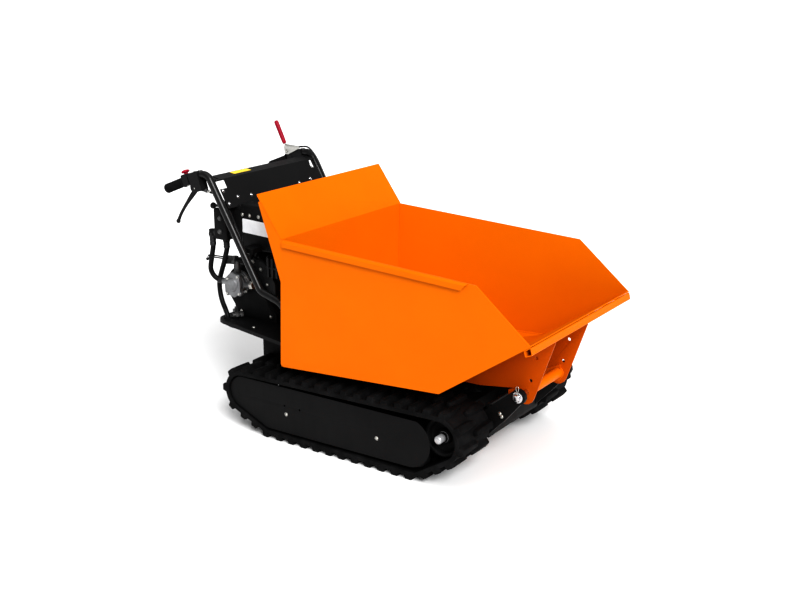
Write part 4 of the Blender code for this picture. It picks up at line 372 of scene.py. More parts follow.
def corner_arc(before, here, after, radius):
    """The centre of an arc that rounds a corner, and where it starts and ends, from that centre."""
    before, here, after = Vector(before), Vector(here), Vector(after)
    back = (before - here).normalized()
    ahead = (after - here).normalized()
    half = back.angle(ahead) / 2
    centre = here + (back + ahead).normalized() * (radius / sin(half))
    reach = radius * cos(half) / sin(half)
    return centre, here + back * reach - centre, here + ahead * reach - centre


def bent(corners, radius, step):
    """Points of a bent bar: straight runs joined by arcs of one radius."""
    points = [Vector(corners[0])]
    for before, here, after in zip(corners, corners[1:], corners[2:]):
        centre, first, last = corner_arc(before, here, after, radius)
        normal = first.cross(last).normalized()
        sweep = first.angle(last)
        count = max(1, ceil(degrees(sweep) / step))
        points += [centre + Matrix.Rotation(sweep * k / count, 3, normal) @ first for k in range(count + 1)]
    return [*points, Vector(corners[-1])]


def rounded(corners, radius, step=8.0):
    """A flat outline with its corners rounded."""
    points = []
    for index, here in enumerate(corners):
        centre, first, last = corner_arc(corners[index - 1], here, corners[(index + 1) % len(corners)],
                                         radius)
        sweep = atan2(first.x * last.y - first.y * last.x, first.dot(last))
        count = max(1, ceil(abs(degrees(sweep)) / step))
        points += [tuple(centre + Matrix.Rotation(sweep * k / count, 2) @ first) for k in range(count + 1)]
    return points


def block(low, high, turn=None, about=None):
    """A box, turned about a place."""
    (ax, ay, az), (bx, by, bz) = low, high
    rings = [[Vector((x, y, z)) for x, y in ((ax, ay), (bx, ay), (bx, by), (ax, by))] for z in (az, bz)]
    if turn:
        rings = [[turn @ (corner - about) + about for corner in ring] for ring in rings]
    return skinned(rings)


def washer(size, reach, thick, start, direction):
    """A flat washer under a head. size is the thread's diameter."""
    return turned([(0, size * 0.5), (0, size * reach), (size * thick, size * reach),
                   (size * thick, size * 0.5)], start, direction, 28, True)


def hex_bolt(place, direction, size, washed=True):
    """A hexagon head on its washer."""
    base = size * 0.2 if washed else 0.0
    reach = size * 0.97
    head = turned([(base, reach), (base + size * 0.55, reach), (base + size * 0.68, reach * 0.86)], place,
                  direction, 6)
    return (washer(size, 1.10, 0.2, place, direction) if washed else []) + head


def dome_bolt(place, direction, size):
    """A round button head with its socket, on a washer."""
    base = size * 0.18
    shape = ((0, 0.90), (0.16, 0.88), (0.34, 0.72), (0.47, 0.46), (0.50, 0.34), (0.50, 0.30), (0.24, 0.28))
    return washer(size, 1.12, 0.18, place, direction) + turned(
        [(base + size * along, size * reach) for along, reach in shape], place, direction, 24)


def bead(points, radius):
    """A weld bead round a joint."""
    return tube(points, radius, 8, lambda k, turn: 0.85 + 0.15 * (k % 2))


def weld(start, end, radius, pitch):
    """A weld bead: a low rippled run of metal between two places."""
    start, end = Vector(start), Vector(end)
    count = max(3, round((end - start).length / (pitch / 2)))
    return tube([start.lerp(end, k / count) for k in range(count + 1)], radius, 8,
                lambda k, turn: 0.86 + 0.14 * (k % 2) - (0.35 if k in (0, count) else 0.0))


def knurled(start, direction, length, radius, teeth, depth=0.05):
    """A grooved round, its ends drawn in."""
    head = Vector(direction).normalized()
    shares = (0.93, 1.0, 1.0, 1.0, 0.90)
    return tube([Vector(start) + head * length * share for share in (0.0, 0.08, 0.5, 0.88, 1.0)], radius,
                teeth * 4, lambda k, turn: shares[k] * (1.0 - depth * (0.5 + 0.5 * cos(teeth * turn))))


def arc(centre, radius, start, end, count=24):
    """Points on a flat arc, in degrees."""
    return [(centre[0] + radius * cos(radians(start + (end - start) * k / count)),
             centre[1] + radius * sin(radians(start + (end - start) * k / count))) for k in range(count + 1)]


def slab(name, outline, thickness, middle, node, slot, edge=0.8, holes=(), level=False, stands=False):
    """A plate with rounded edges: outline in (x, z) and middle in y, or (x, y) and z if level."""
    flat = bpy.data.curves.new(name, "CURVE")
    flat.dimensions = "2D"
    flat.fill_mode = "BOTH"
    flat.extrude = (thickness / 2 - edge) * MM
    flat.bevel_depth = edge * MM
    flat.bevel_resolution = 2
    flat.offset = -edge * MM
    for loop in (outline, *holes):
        spline = flat.splines.new("POLY")
        spline.points.add(len(loop) - 1)
        for point, (u, v) in zip(spline.points, loop):
            point.co = (u * MM, v * MM, 0.0, 1.0)
        spline.use_cyclic_u = True
    draft = bpy.data.objects.new(name + "_draft", flat)
    bpy.context.scene.collection.objects.link(draft)
    draft.location = INTO_FRAME @ Vector((0, 0, middle) if level else (0, middle, 0))
    draft.rotation_euler.x = 0.0 if level else pi / 2
    bpy.context.view_layer.update()
    mesh = bpy.data.meshes.new_from_object(draft.evaluated_get(bpy.context.evaluated_depsgraph_get()))
    bm = bmesh.new()
    bm.from_mesh(mesh)
    bm.transform(draft.matrix_world)
    bmesh.ops.remove_doubles(bm, verts=bm.verts, dist=0.000005)
    bpy.data.objects.remove(draft, do_unlink=True)
    settle(name, bm, node, slot, stands=stands)


def soft_box(node, low, high, radius, segments, slot=None):
    """A box with well rounded edges in a node's place."""
    soften(stand_in(node, block(low, high), slot=slot, angle=40.0), radius, segments)


def across(place, y):
    """A side view point (x, z) as a place at y."""
    return Vector((place[0], y, place[1]))


# Places of the model's source that the pieces below share
SPROCKET = (-165.5, GROUND + 135, 58)
IDLER = (590, GROUND + 150, 63)
TRACK_WIDTH = 180
TRACK_MIDDLE = 258
BELT = 14
TREAD = 14
LINKS = 38
ROLLER_RADIUS = 28
ROLLER_PLACES = (-58, 225, 504)
ROLLER_Z = GROUND + TREAD + BELT + ROLLER_RADIUS
COVER_FACE = TRACK_MIDDLE + 83
PIVOT = (752, 244)
DECK_TOP = 302
BAR_RADIUS = 12.5
BAR_MIDDLE = 265
BAR_TIP = Vector((-528, 743.3))
BAR_TOP = Vector((-354, 813))
BAR_RUN = (BAR_TOP - BAR_TIP).normalized()
BAR_UP = Vector((-BAR_RUN.y, BAR_RUN.x))


# Belts and their wheels
def belt_loop():
    """The belt's inner line round its wheels: stretches of (length, kind, values)."""
    ends = [(place, ROLLER_Z, ROLLER_RADIUS) for place in (ROLLER_PLACES[0], ROLLER_PLACES[-1])]
    wheels = [SPROCKET, *ends, IDLER]
    heads = []
    for (ax, az, ar), (bx, bz, br) in zip(wheels, wheels[1:] + wheels[:1]):
        apart = hypot(bx - ax, bz - az)
        turn = asin((ar - br) / apart)
        heads.append((atan2(bz - az, bx - ax) + turn, apart * cos(turn)))
    stretches = []
    for index, (cx, cz, r) in enumerate(wheels):
        head_in = heads[index - 1][0]
        head_out, run = heads[index]
        stretches.append((r * ((head_out - head_in) % (2 * pi)), "arc", (cx, cz, r, head_in)))
        stretches.append((run, "run", (cx + r * sin(head_out), cz - r * cos(head_out), head_out)))
    return stretches


def on_belt(stretches, distance):
    """Place, direction ahead and outward direction on the belt's inner line, in the side view."""
    distance %= sum(stretch[0] for stretch in stretches)
    for length, kind, values in stretches:
        if distance <= length:
            if kind == "arc":
                cx, cz, r, head = values
                head += distance / r
                out = Vector((sin(head), -cos(head)))
                return Vector((cx, cz)) + out * r, Vector((cos(head), sin(head))), out
            x, z, head = values
            ahead = Vector((cos(head), sin(head)))
            return Vector((x, z)) + ahead * distance, ahead, Vector((sin(head), -cos(head)))
        distance -= length
    return on_belt(stretches, 0.0)


def block_on_belt(place, ahead, out, y, plan, levels):
    """A moulded block: plan is (along, across) round it, levels are (lift, share along, inset across)."""
    middle = sum(aside for _, aside in plan) / len(plan)
    rings = []
    for lift, share, inset in levels:
        ring = []
        for along, aside in plan:
            aside += inset if aside < middle else -inset
            ring.append(across(place + ahead * along * share + out * lift, y + aside))
        rings.append(ring)
    return skinned(rings)


def belt(side, sign):
    """A rubber belt: the band, its staggered tread blocks with worn edges, and the guide horns."""
    stretches = belt_loop()
    length = sum(stretch[0] for stretch in stretches)
    half = TRACK_WIDTH / 2
    y = sign * TRACK_MIDDLE
    section = [(-half, 3), (-half, BELT - 3), (-half + 2.5, BELT), (half - 2.5, BELT), (half, BELT - 3),
               (half, 3), (half - 2, 0), (-half + 2, 0)]
    rings = []
    for k in range(LINKS * 8):
        place, _, out = on_belt(stretches, length * k / (LINKS * 8))
        rings.append([across(place + out * lift, y + aside) for aside, lift in section])
    tread = ((BELT - 2.5, 1.0, 0), (BELT + 3, 0.90, 0.4), (BELT + TREAD - 2.4, 0.78, 2),
             (BELT + TREAD - 0.6, 0.73, 3.2), (BELT + TREAD, 0.64, 4.8))
    horn = ((2, 1.0, 0), (-8.5, 0.72, 3), (-11.2, 0.60, 4.6), (-12, 0.44, 6.4))
    horn_plan = [(-10.5, -12), (10.5, -12), (12.5, -9), (12.5, 9), (10.5, 12), (-10.5, 12), (-12.5, 9),
                 (-12.5, -9)]
    forms = [skinned(rings, True)]
    for k in range(2 * LINKS):
        place, ahead, out = on_belt(stretches, length * (k + 0.5) / (2 * LINKS))
        outer, inner = (-half + 0.6, 6) if k % 2 else (half - 0.6, -6)
        cut = 4.5 if outer > 0 else -4.5
        plan = [(-15.2, outer - cut), (-11.8, outer), (11.8, outer), (15.2, outer - cut),
                (13.8, inner * 0.2 + outer * 0.35), (9.6, inner + cut * 0.7), (6.2, inner),
                (-6.2, inner), (-9.6, inner + cut * 0.7), (-13.8, inner * 0.2 + outer * 0.35)]
        forms.append(block_on_belt(place, ahead, out, y, plan, tread))
        if k % 2:
            forms.append(block_on_belt(place, ahead, out, y, horn_plan, horn))
    stand_in(f"track_{side}", *forms, name=f"belt_{side}", angle=38.0)


def cover_outline():
    """Side view outline of the side covers."""
    margin = 4
    length, _, (x, z, head) = belt_loop()[1]
    out = Vector((sin(head), -cos(head)))
    tangent = Vector((x, z)) - out * margin + Vector((cos(head), sin(head))) * length
    return (arc(SPROCKET[:2], SPROCKET[2] - margin, 100, degrees(head) + 270, 22)
            + [tuple(tangent), (tangent.x + 20, GROUND + TREAD + BELT + margin + 1.5)]
            + arc((485.5, GROUND + 119), 79, -88, 68, 30))


def cover(side, sign):
    """A side cover, its two screws and the two holes beside the rear one."""
    node = f"side_cover_{side}"
    face = sign * COVER_FACE
    slab(f"cover_{side}_fine", cover_outline(), 3, face - sign * 1.5, node, "black_paint", 0.9,
         [arc(place, 3.5, 0, 330, 11) for place in ((9.7, 108.7), (71.3, 107.5))], stands=True)
    screws = ((16.5, 81.1), (372.2, 86.2))
    piece(f"cover_screws_{side}", node, "zinc_steel",
          *(dome_bolt((x, face - sign * 0.3, z), (0, sign, 0), 5.8) for x, z in screws))


def wheel(profile, x, z, sign, steps, open_ends=True):
    """A wheel turned round a sideways axis: profile in (outward from the belt's middle, radius)."""
    return turned(profile, (x, sign * TRACK_MIDDLE, z), (0, sign, 0), steps, open_ends)


def undercarriage(side, sign):
    """The dished idler, the twin rim rollers and the toothed sprocket of one side."""
    x, z, radius = IDLER
    rim = radius - 2.4
    dish = [(-58, 11.8), (-58, rim - 5), (-56.5, rim - 2), (-53, rim), (-20, rim), (-18, rim - 2),
            (-16.5, 46), (-14, 45), (14, 45), (16.5, 46), (18, rim - 2), (20, rim), (54, rim),
            (56.8, rim - 1), (58, rim - 4), (58, rim - 8.5), (56, rim - 11), (40, rim - 14.5), (37, rim - 18),
            (36, rim - 23), (36.2, 26.5), (38.5, 23.5), (46, 22.2), (47, 21), (47.8, 19.5), (47.8, 11.8)]
    stand_in(f"idler_wheel_{side}", wheel(dish, x, z, sign, 64), name=f"idler_{side}_fine",
             look=LOOKS["black_paint"], angle=30.0)
    beam = f"track_beam_{side}"
    head = TRACK_MIDDLE + 48
    axle = max(abs(corner[1]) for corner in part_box(beam)) / MM - head
    dome = [(0, 17.2), (2.2, 17.2), (2.6, 16.6), (2.6, 12.8), (axle, 12.8), (axle + 1.2, 11.8),
            (axle + 3.6, 9.6), (axle + 5, 6.6), (axle + 5.6, 0)]
    piece(f"idler_bolt_{side}", beam, "polished_steel", turned(dome, (x, sign * head, z), (0, sign, 0), 40),
          look=BOLT_LOOK)
    rim = ROLLER_RADIUS - 3.8
    twin = [(-58, 8.7), (-58, rim - 3), (-56.5, rim - 0.6), (-55, rim), (-22, rim), (-20.5, rim - 1),
            (-17.5, 14.5), (17.5, 14.5), (20.5, rim - 1), (22, rim), (55, rim), (56.5, rim - 0.6),
            (58, rim - 3), (58, rim - 7), (54.5, rim - 8.5), (54.5, 12.8), (57.5, 11.8), (57.5, 8.7)]
    for number, place in enumerate(ROLLER_PLACES, 1):
        stand_in(f"track_roller_{side}_{number}", wheel(twin, place, ROLLER_Z, sign, 36),
                 name=f"roller_{side}_{number}_fine", angle=30.0)
    sprocket(side, sign)


def sprocket(side, sign):
    """The drive sprocket: two toothed discs on a hub and the half shaft."""
    x, z = SPROCKET[:2]
    name = f"drive_sprocket_{side}"
    stand_in(name, turned([(102.3, 12.5), (103.5, 14), (228, 14)], (x, 0, z), (0, sign, 0), 32),
             wheel([(-40, 29), (-37, 31.5), (-31, 33), (-30, 33.9), (30, 33.9), (31, 33), (37, 31.5),
                    (40, 29), (40, 15), (37, 13)], x, z, sign, 48, False), name=f"sprocket_hub_{side}")
    flank = ((0.05, 55.6), (0.15, 55), (0.20, 53), (0.27, 45), (0.34, 40.8), (0.44, 40))
    tooth = [(-share, reach) for share, reach in flank[::-1]] + [*flank]
    count = 7
    turns = [(2 * pi * (k + share) / count, reach) for k in range(count) for share, reach in tooth]
    teeth = [(x + reach * cos(turn), z + reach * sin(turn)) for turn, reach in turns]
    for number, offset in ((1, -23), (2, 23)):
        slab(f"sprocket_disc_{side}_{number}", teeth, 11.8, sign * TRACK_MIDDLE + offset, name,
             "dark_casting", 1.2)


for side_name, side_sign in SIDES:
    belt(side_name, side_sign)
    cover(side_name, side_sign)
    undercarriage(side_name, side_sign)


# Skip and its tipping gear
SKIP_TOP, SKIP_FOLD = Vector((-93, 780)), Vector((0, 651))
SLOPE_FOOT, SLOPE_LIP = Vector((583, 271)), Vector((877, 472))
SKIP_HALF = 325
CYLINDER_FOOT = Vector((220, 0, 90))
CLEVIS = Vector((610, 0, 222))


def skip_welds():
    """Weld beads in the skip's corners: along the side sheets inside, and outside above the fold."""
    inside = [(5.2, 650), (-9, 238.5), (581.2, 276.2), (870, 473.8)]
    forms = []
    for _, sign in SIDES:
        y = sign * (SKIP_HALF - 4.6)
        forms += [weld(across(first, y), across(second, y), 2.1, 4.5)
                  for first, second in zip(inside, inside[1:])]
        y = sign * (SKIP_HALF - 1.2)
        forms.append(weld(across(SKIP_TOP + Vector((4, -2)), y), across(SKIP_FOLD + Vector((2, 1)), y), 1.4,
                          4))
    piece("skip_welds", "skip_body", "orange_paint", *forms, angle=60.0)


def lip_details():
    """Weld beads between the lip tube and the slope, in short runs."""
    run = (SLOPE_LIP - SLOPE_FOOT).normalized()
    place = SLOPE_LIP - run * 26.2 + Vector((0.6, -1.2))
    starts = [-285 + k * 92 for k in range(7)]
    piece("lip_welds", "skip_lip_tube", "orange_paint",
          *(weld(across(place, y), across(place, y + 34), 2.2, 4) for y in starts), angle=60.0)


def subframe_details():
    """The pivot sleeve's smooth tube and the weld beads of the web plates."""
    x, z = PIVOT
    piece("sleeve_fine", "skip_subframe", "orange_paint",
          turned([(-102, 10.8), (-102, 16.1), (102, 16.1), (102, 10.8)], (x, 0, z), (0, 1, 0), 48, True),
          angle=30.0)
    runs = (((300, 251.3), (345, 254.2)), ((440, 260.3), (485, 263.1)), ((600, 281), (650, 315.2)),
            ((720, 363.1), (770, 397.3)))
    forms = []
    for sign in (-1, 1):
        forms.append(bead([across(place, sign * 100.6) for place in arc(PIVOT, 17.5, 0, 360, 45)], 2))
        forms += [weld(across(first, sign * 105 + face), across(second, sign * 105 + face), 2.2, 4.2)
                  for first, second in runs for face in (-3.6, 3.6)]
    piece("subframe_welds", "skip_subframe", "orange_paint", *forms, angle=60.0)


def pivot_pin(side, sign):
    """The headed pin, its washer and the spring clip through its end."""
    x, z = PIVOT
    name = f"pivot_pin_{side}"
    start = 75
    ring = 157.6 - start
    stand_in(name, turned([(0, 8.8), (1.2, 10), (ring, 10), (ring, 16.6), (ring + 0.4, 17.3),
                           (ring + 2.6, 17.3), (ring + 3, 16.6), (ring + 3, 11.2), (ring + 3.1, 9.8),
                           (ring + 9.8, 9.8), (ring + 11, 8.6), (ring + 11.4, 7)], (x, sign * start, z),
                          (0, sign, 0), 40), angle=35.0)
    route = [(3, -14), (3, 12), (4.5, 22), (6, 32), (2, 37), (-3, 33), (-2, 24), (1, 18), (-6, 12),
             (-11.2, 4), (-10.5, -6)]
    piece(f"pin_clip_{side}", name, "zinc_steel",
          hose([(x + a, sign * 164.5, z + b) for a, b in route], 3, 1.1, 10), angle=60.0)


def cylinder():
    """The tipping cylinder: barrel with its gland, ports, eye and pin, and the chromed rod."""
    along = (CLEVIS - CYLINDER_FOOT).normalized()
    reach = (CLEVIS - CYLINDER_FOOT).length
    foot = CYLINDER_FOOT
    sideways = (0, 1, 0)
    turn = Matrix.Rotation(-atan2(along.z, along.x), 3, "Y")
    barrel = turned([(20, 21.5), (22.5, 24.5), (25.5, 26), (302.5, 26), (303, 28.5), (305, 29.9),
                     (322.5, 29.9), (325, 28), (325, 18.5), (323.5, 17.2), (323.5, 14), (321, 13.2),
                     (100, 13.2)], foot, along, 48)
    eye = turned([(-15, 12.8), (-13.8, 14), (13.8, 14), (15, 12.8)], foot, sideways, 32)
    neck = block(foot + Vector((2, -14, -10)), foot + Vector((30, 14, 10)), turn, foot)
    ports = [turned([(18, 12.5), (26, 12.5), (29, 10.5), (37.6, 9.2)], foot + along * place, (0, -1, 0))
             for place in (38, 285)]
    stand_in("cylinder_barrel", barrel, eye, neck, *ports, name="barrel_fine")
    piece("barrel_pin_fine", "cylinder_barrel", "zinc_steel",
          turned([(-25, 7.2), (-24.2, 8), (24.2, 8), (25, 7.2)], foot, sideways), angle=32.0)
    rod = turned([(110, 11.5), (111, 12.5), (reach - 15.5, 12.5), (reach - 13.5, 14.5), (reach - 6, 14.5)],
                 foot, along, 48)
    eye = turned([(-15, 13.2), (-14.2, 14), (14.2, 14), (15, 13.2)], CLEVIS, sideways, 36)
    stand_in("cylinder_rod", rod, eye, name="rod_fine")
    piece("clevis_pin_heads", "skip_subframe", "zinc_steel",
          *(turned([(21, 11), (24, 11), (25, 10)], CLEVIS, (0, sign, 0), 28) for sign in (-1, 1)), angle=32.0)


def frame_fasteners():
    """Bolts of the front plate and lugs, and the frame's weld beads."""
    node = "chassis_frame"
    bolts = [dome_bolt((x, sign * 157.2, z), (0, sign, 0), 6.2)
             for sign in (-1, 1) for x, z in ((693.7, 179), (699.8, 170.8))]
    bolts += [hex_bolt((656.2, y, 180), (1, 0, 0), 7) for y in (-118, -70, 70, 118)]
    piece("front_bolts", node, "zinc_steel", *bolts)
    forms = []
    for sign in (-1, 1):
        inner, outer = sign * 142.8, sign * 153.6
        forms.append(weld((657.2, inner, 104), (657.2, inner, 196), 2.6, 4.8))
        forms.append(weld((600, outer, 145.2), (645, outer, 145.2), 2.4, 4.8))
        forms += [weld((x, outer, 98), (x, outer, 130), 2.4, 4.8) for x in (150, 190, 480, 520)]
    piece("frame_welds", node, "black_paint", *forms, angle=60.0)


rounded_copies(("skip_body", 1.2, 3), ("skip_lip_tube", 0.9, 2), ("skip_subframe", 0.7, 2),
               ("chassis_frame", 0.9, 2), ("track_beam_right", 0.9, 2), ("track_beam_left", 0.9, 2),
               ("gearbox", 2.2, 2))
skip_welds()
lip_details()
subframe_details()
cylinder()
frame_fasteners()
for side_name, side_sign in SIDES:
    pivot_pin(side_name, side_sign)


# Engine, pump, deck and tanks
CRANK = (-325, 418)
CASE_FOOT = (-204, 181)
CASE_FACE = -156.3
PUMP_AXIS = (-319.5, 425.5)
FUEL_FILLER = (-335, 60, 647)
OIL_FILLER = (-215, 120, 716)


def label(name, corners, node, look, lift):
    """A bare plate of label film with rounded corners: lift is its thickness and which way it goes."""
    a, b, c, d = [Vector(corner) for corner in corners]
    ring = []
    for here, before, after in ((a, d, b), (b, a, c), (c, b, d), (d, c, a)):
        back, ahead = (before - here).normalized(), (after - here).normalized()
        reach = min((before - here).length, (after - here).length) * 0.10
        ring += [here + back * reach * (1 - share) ** 2 + ahead * reach * share ** 2
                 for share in (0.0, 0.25, 0.5, 0.75, 1.0)]
    piece(name, node, None, skinned([ring, [point + Vector(lift) for point in ring]]), look=look)


def deck():
    """Bolts of the deck, the hose grommet and the unions lying on it."""
    node = "deck_plate"
    places = ((-208.5, -229), (-60, -245), (-243.7, 187), (-208.9, 228.5), (-60, 245), (-345, 110))
    piece("deck_bolts", node, "zinc_steel", *(dome_bolt((x, y, DECK_TOP - 0.3), UP, 6.4) for x, y in places),
          *(hex_bolt((x, y, DECK_TOP + 12), UP, 8) for x in (-368, -188) for y in (-105, 72)))
    piece("hose_grommet", node, "rubber", turned(
        [(-6, 9.6), (-6, 14.5), (-4.5, 15.5), (2, 15.5), (3.5, 14.5), (3.5, 9.6)], (-350, -200, DECK_TOP), UP,
        32, True))
    unions = []
    for start, run in (((-330, -199, 314.5), (0.52, 0.85, 0)), ((-364, -156, 314.5), (0.34, 0.94, 0))):
        unions += [turned([(0, 7), (12, 7)], start, run),
                   turned([(10, 9.8), (11.5, 10.8), (21.5, 10.8), (23, 9.8)], start, run, 6),
                   turned([(22, 6.2), (28, 6.2)], start, run),
                   turned([(27, 10.5), (28.5, 11.2), (35.5, 11.2), (37, 10.5)], start, run, 6)]
    piece("deck_unions", node, "zinc_steel", *unions, look=DULL_LOOK, angle=32.0)
    soften(piece("union_plate", node, "black_paint", block(
        (-374, -196, DECK_TOP), (-322, -120, DECK_TOP + 5.2)), angle=32.0), 1)


def belt_case():
    """The case over the belt, its rolled rim and its screws."""
    node = "belt_case"
    outline = (arc(CRANK, 58, 20, 205, 40) + [(-331, 302.6), (-236, 302.6)] + arc(CASE_FOOT, 32, 180, 360)
               + [(-172, 332.6)])
    slab("belt_case_fine", outline, 32, -140.3, node, "black_paint", 3.5, stands=True)
    rim = rounded([(-393.5, 394.5), (-330, 309), (-180, 309), (-180, 330), (-270, 445)], 12)
    slab("belt_case_rim", rim, 3, CASE_FACE - 0.4, node, "black_paint", 1.1)
    piece("case_screws", node, "zinc_steel", *(dome_bolt((x, CASE_FACE - 1.8, z), (0, -1, 0), 5.2)
                                               for x, z in ((-325, 322), (-195, 322), (-372, 392))))


def pump():
    """The gear pump: turned body with ribs, its cast cover, bolts and outlet union."""
    x, z = PUMP_AXIS
    start = -156.6
    out = (0, -1, 0)
    outlet = (1, 0, 0.16)
    stand_in("pump_body", turned([(0, 40), (9, 40), (10.2, 38.8), (10.6, 36.2), (15, 35.8), (15.8, 34.6),
                                  (20.6, 34.6), (21.4, 35.8), (29, 35.8), (29.8, 34.6), (33, 34.6),
                                  (34, 35.5)], (x, start, z), out, 64),
             turned([(0, 10), (40, 10)], (x + 24, start - 19, z - 4), outlet, 28))
    nut = turned([(0, 13.5), (1.2, 14.8), (12, 14.8), (13.2, 13.5)], (x + 56.5, start - 19, z + 1), outlet, 6)
    reach = 36.8
    bolts = [hex_bolt((x + reach * cos(angle), start - 9.2, z + reach * sin(angle)), out, 5.2)
             for angle in map(radians, (38, 118, 205, 312))]
    stud = turned([(0, 5), (20, 5)], (x + 30, -196, z - 16), (0, 1, 0), 20)
    piece("pump_fasteners", "pump_body", "zinc_steel", nut, *bolts, stud, angle=32.0)
    w, h = 35, 44.5
    face = -207.2
    corners = [(x - w, z + 16), (x - w * 0.10, z + h), (x + w * 0.86, z + h * 0.76), (x + w, z + 4),
               (x + w * 0.95, z - h * 0.62), (x + w * 0.24, z - h), (x - w * 0.94, z - h * 0.72)]
    slab("pump_cover_fine", rounded(corners, 9, 12.0), 16, face + 8, "pump_cover", "cast_aluminium", 2.6,
         stands=True)
    ears = ((x - w * 0.66, z - h * 0.74), (x + w * 0.86, z - h * 0.62), (x + w * 0.72, z + h * 0.70))
    bosses = [turned([(-7.8, 8), (5.8, 8), (7, 7)], across(ear, face + 8), out, 32) for ear in ears]
    hub = turned([(0, 25), (1, 23.6), (3.4, 21.6), (4, 20.6), (4, 15), (3.3, 14)], (x, face + 0.2, z), out,
                 56)
    inlet = turned([(0, 8.6), (1.2, 9.5), (26, 9.5)], (x - w - 9, face + 6, z + 6), (1, 0, 0), 28)
    piece("pump_cover_bosses", "pump_cover", "cast_aluminium", *bosses, hub, inlet, angle=32.0)
    bolts = [hex_bolt(across(ear, face + 1), out, 5, False) for ear in ears]
    bolts.append(hex_bolt((x - w * 0.52, face, z + h * 0.44), out, 5, False))
    piece("cover_bolts", "pump_cover", "zinc_steel", *bolts, angle=32.0)


def engine():
    """What the engine block carries: fins, head plate, bolts, spark plug with its lead, and plugs."""
    node = "engine_block"
    lean = radians(24)
    along = Vector((cos(lean), 0, sin(lean)))
    turn = Matrix.Rotation(-lean, 3, "Y")
    base = Vector((CRANK[0] + 70, -5, CRANK[1] + 12))

    def leaning(low, high):
        """A box square to the leaning cylinder."""
        return block(base + Vector(low), base + Vector(high), turn, base)

    starts = [33 + number * 8.8 for number in range(9)]
    soften(piece("cylinder_fins", node, "black_alloy", *(
        leaning((k, -54, -54), (k + 2.4, 54, 54)) for k in starts), angle=30.0), 0.5, 1)
    piece("head_bolts", node, "zinc_steel", leaning((106, -49, -49), (116, 49, 49)),
          *(hex_bolt(turn @ Vector((149.5, y, z)) + base, along, 4.8) for y in (-38, 38) for z in (-38, 38)),
          angle=32.0)
    plug = turn @ Vector((100, -30, 52)) + base
    lead = [(-3, -10, 28), (-10, -20, 40), (-40, -24, 34), (-75, -10, 6), (-95, 20, -30)]
    piece("plug_and_lead", node, "black_plastic", turned(
        [(0, 7.5), (6, 7.5), (6, 5.2), (12, 5.2), (12, 9.5), (28, 9), (33, 7.5), (35, 0)], plug,
        (-0.10, -0.35, 0.90), 28), hose([plug + Vector(place) for place in lead], 6, 3.6, 14))
    left = ((-370, 345), (-330, 325), (-285, 325), (-245, 345), (-235, 395), (-262, 455), (-287.5, 490),
            (-345, 487), (-373, 440))
    right = ((-295.7, 492.3), (-262, 470), (-236, 420))
    piece("engine_bolts", node, "zinc_steel",
          *(dome_bolt(across(place, 90.4), (0, 1, 0), 5.8) for place in left),
          *(dome_bolt(across(place, -124.4), (0, -1, 0), 6.2) for place in right))
    filler = turned([(0, 10.5), (4, 10.5), (5, 12.5), (10, 12.5), (11.5, 11)],
                    (CRANK[0] + 118, 30, DECK_TOP + 60), (1, 0, 0), 28)
    drain = turned([(0, 14), (16, 14), (20, 12)], (CRANK[0] - 59, -50, DECK_TOP + 55), (-1, 0, 0.3), 28)
    piece("engine_plugs", node, "black_plastic", filler, drain, angle=36.0)


def starter():
    """The recoil starter: dished cover with its eyelet and ribs, screws and pull grip."""
    node = "recoil_cover"
    x, z = CRANK
    face = 90.3
    out = (0, 1, 0)
    stand_in(node, turned([(0, 90.5), (1.5, 92), (16.5, 92), (18.5, 91.2), (20.5, 89.6), (29, 84.6),
                           (31.5, 83.4), (50, 78.6), (55, 76), (59, 70.5), (60, 65.5), (60, 32), (59.2, 29.6),
                           (56.5, 26.8), (56, 25.5)], (x, face, z), out, 72),
             turned([(0, 8.5), (1.2, 10), (50, 10)], (-425, 120, 458), (1, 0, 0), 32), slot="black_alloy")
    ribs = []
    for count, rise, reach, low, high in ((20, 60, 48.5, (-13.5, -1.2, -2), (13.5, 1, 2)),
                                          (24, 40, 81.2, (-1.4, -10, -2.2), (1.6, 10, 2.2))):
        for angle in (2 * pi * k / count for k in range(count)):
            middle = Vector((x + reach * cos(angle), face + rise, z + reach * sin(angle)))
            turn = Matrix.Rotation(-angle, 3, "Y")
            ribs.append(block(middle + Vector(low), middle + Vector(high), turn, middle))
    soften(piece("recoil_ribs", node, "black_plastic", *ribs, angle=30.0), 0.6)
    piece("recoil_screws", node, "zinc_steel",
          *(dome_bolt(across(place, face + 18.5), out, 5.2) for place in arc(CRANK, 88, 45, 315, 3)),
          hex_bolt((x, face + 56, z), out, 6.8))
    stand_in("starter_grip", turned([(0, 5), (3, 6.6), (7, 7.2), (12, 8.2), (15, 11.2), (18, 15.8),
                                     (21.5, 17.7), (26, 17.8), (29, 16), (30.8, 12), (31, 0)],
                                    (-425.3, 120, 458), (-1, 0, 0), 40), angle=40.0)


def filler_cap(node, place, radius, height, teeth):
    """A grooved filler cap with its raised grip."""
    base = Vector(place) + Vector((0, 0, 0.3))
    stand_in(node, knurled(base, UP, height * 0.72, radius, teeth), turned(
        [(height * 0.66, radius * 0.86), (height * 0.86, radius * 0.83), (height, radius * 0.70)], base, UP,
        48), angle=30.0)


